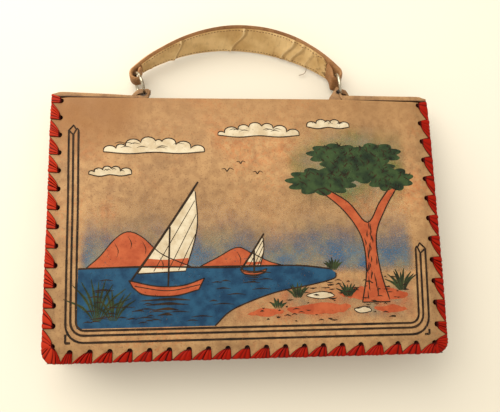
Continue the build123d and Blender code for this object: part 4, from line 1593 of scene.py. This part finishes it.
# Handle stitching
# A row of fine waxed thread along each edge of the handle, drawn tight into the lining. One end
# has come out near the right and hangs loose in a hook.
stitch_pitch, stitch_length, stitch_radius = 2.3 * mm, 1.6 * mm, 0.34 * mm
first_sewn, unsewn_end = 1, 2
stitch_margins = {-1: 2.2 * mm, 1: 1.2 * mm}
stitch_rise_share, stitch_look_share, stitch_sides, stitch_rings = 0.3, 0.3, 6, 5
twist_depth = 0.05 * mm
thread_end_share, thread_end_radius = 0.88, 0.22 * mm
thread_end_path = ((0, 0, 0), (0.6, -2.2, -0.6), (-0.2, -4.6, -1.6), (-2.4, -6.4, -2.2), (-5.4, -6.8, -2.4))
thread = Finish("thread", {"Roughness": 0.7})
thread.set("Base Color", thread.mix(thread.noise(600, 3.0), colour(96, 62, 28), colour(130, 92, 48)))
thread.bump(thread.noise(2400, 2.0), twist_depth, 0.5)


def lining_spot(share, row):
    """A point on the lining's visible face, in the row of stitches at one edge."""
    step = round(share * lining_steps)
    angle = between(-lining_left, lining_right, share)
    half = lining_half_at(lining_route[step].x) - stitch_margins[row]
    loose = crease_height(step, row * half)
    point = arch_point(angle, lining_radius - lining_leaf / 2 - loose + stitch_radius * stitch_rise_share)
    return on_handle(point, row * half + (lining_low_margin - lining_top_margin) / 2)


bm = bmesh.new()
stitch_count = int(lining_length / stitch_pitch)
for row in (-1, 1):
    for index in range(first_sewn, stitch_count - unsewn_end):
        middle = lining_spot(index / stitch_count, row)
        ahead = (lining_spot((index + stitch_look_share) / stitch_count, row) - middle).normalized()
        turn = ahead.to_track_quat("X", "Z").to_matrix().to_4x4()
        shape = Matrix.Diagonal((stitch_length / 2, stitch_radius, stitch_radius, 1))
        stand = Matrix.Translation(middle) @ turn @ shape
        bmesh.ops.create_uvsphere(
            bm, u_segments=stitch_sides, v_segments=stitch_rings, radius=1, matrix=stand
        )
loose_thread = bpy.data.curves.new("thread_end", "CURVE")
loose_thread.dimensions = "3D"
loose_thread.bevel_depth = thread_end_radius
loose_thread.bevel_resolution = 1
spline = loose_thread.splines.new("NURBS")
spline.points.add(len(thread_end_path) - 1)
root = lining_spot(thread_end_share, -1)
for control, offset in zip(spline.points, thread_end_path):
    control.co = (*(root + Vector(offset) * mm), 1)
spline.order_u = 3
spline.use_endpoint_u = True
thread_end = add_object("thread_end", loose_thread)
end_mesh = bpy.data.meshes.new_from_object(thread_end)
bm.from_mesh(end_mesh)
bpy.data.objects.remove(thread_end)
bpy.data.meshes.remove(end_mesh)
stitching = add_piece("handle_stitching", bm, thread, soft_crease_deg)
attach(stitching, "handle")

# Table, light and camera
# The bag lies on a pale table under soft daylight from the upper left, seen from above with a
# slight lean, as one holds a camera over it.
table_size, table_drop = 6.0, 0.3 * mm
table_cells = 4
key_place, key_size, key_power = (-0.40, 0.55, 0.62), 1.0, 12
key_tone, fill_tone, fill_strength = (1.0, 0.97, 0.92), (1.0, 0.97, 0.93, 1), 0.93
camera_place = (-34.74 * mm, -48.13 * mm, 461.82 * mm)
camera_turn_deg = (8.0393, -4.7846, -1.1075)
lens, sensor = 43.2, 36

table = Finish("table", {"Specular IOR Level": 0.15, "Roughness": 0.8})
table.set("Base Color", table.mix(table.noise(3, 2.0), colour(222, 214, 196), colour(219, 210, 188)))
bm = bmesh.new()
bmesh.ops.create_grid(bm, x_segments=table_cells, y_segments=table_cells, size=table_size / 2)
bmesh.ops.translate(bm, verts=bm.verts[:], vec=(0, 0, -table_drop))
add_piece("table", bm, table)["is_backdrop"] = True

key = bpy.data.lights.new("window_light", "AREA")
key.size = key_size
key.energy = key_power
key.color = key_tone
key_object = add_object("window_light", key)
key_object.location = key_place
key_object.rotation_euler = (-Vector(key_place)).to_track_quat("-Z", "Y").to_euler()
world = bpy.data.worlds.new("room")
world.use_nodes = True
sky = world.node_tree.nodes["Background"]
sky.inputs["Color"].default_value = fill_tone
sky.inputs["Strength"].default_value = fill_strength
bpy.context.scene.world = world
bpy.context.scene.view_settings.view_transform = "Standard"

camera = bpy.data.cameras.new("camera")
camera.lens = lens
camera.sensor_width = sensor
camera_object = add_object("camera", camera)
camera_object.location = camera_place
camera_object.rotation_euler = [math.radians(angle) for angle in camera_turn_deg]
bpy.context.scene.camera = camera_object

low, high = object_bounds()
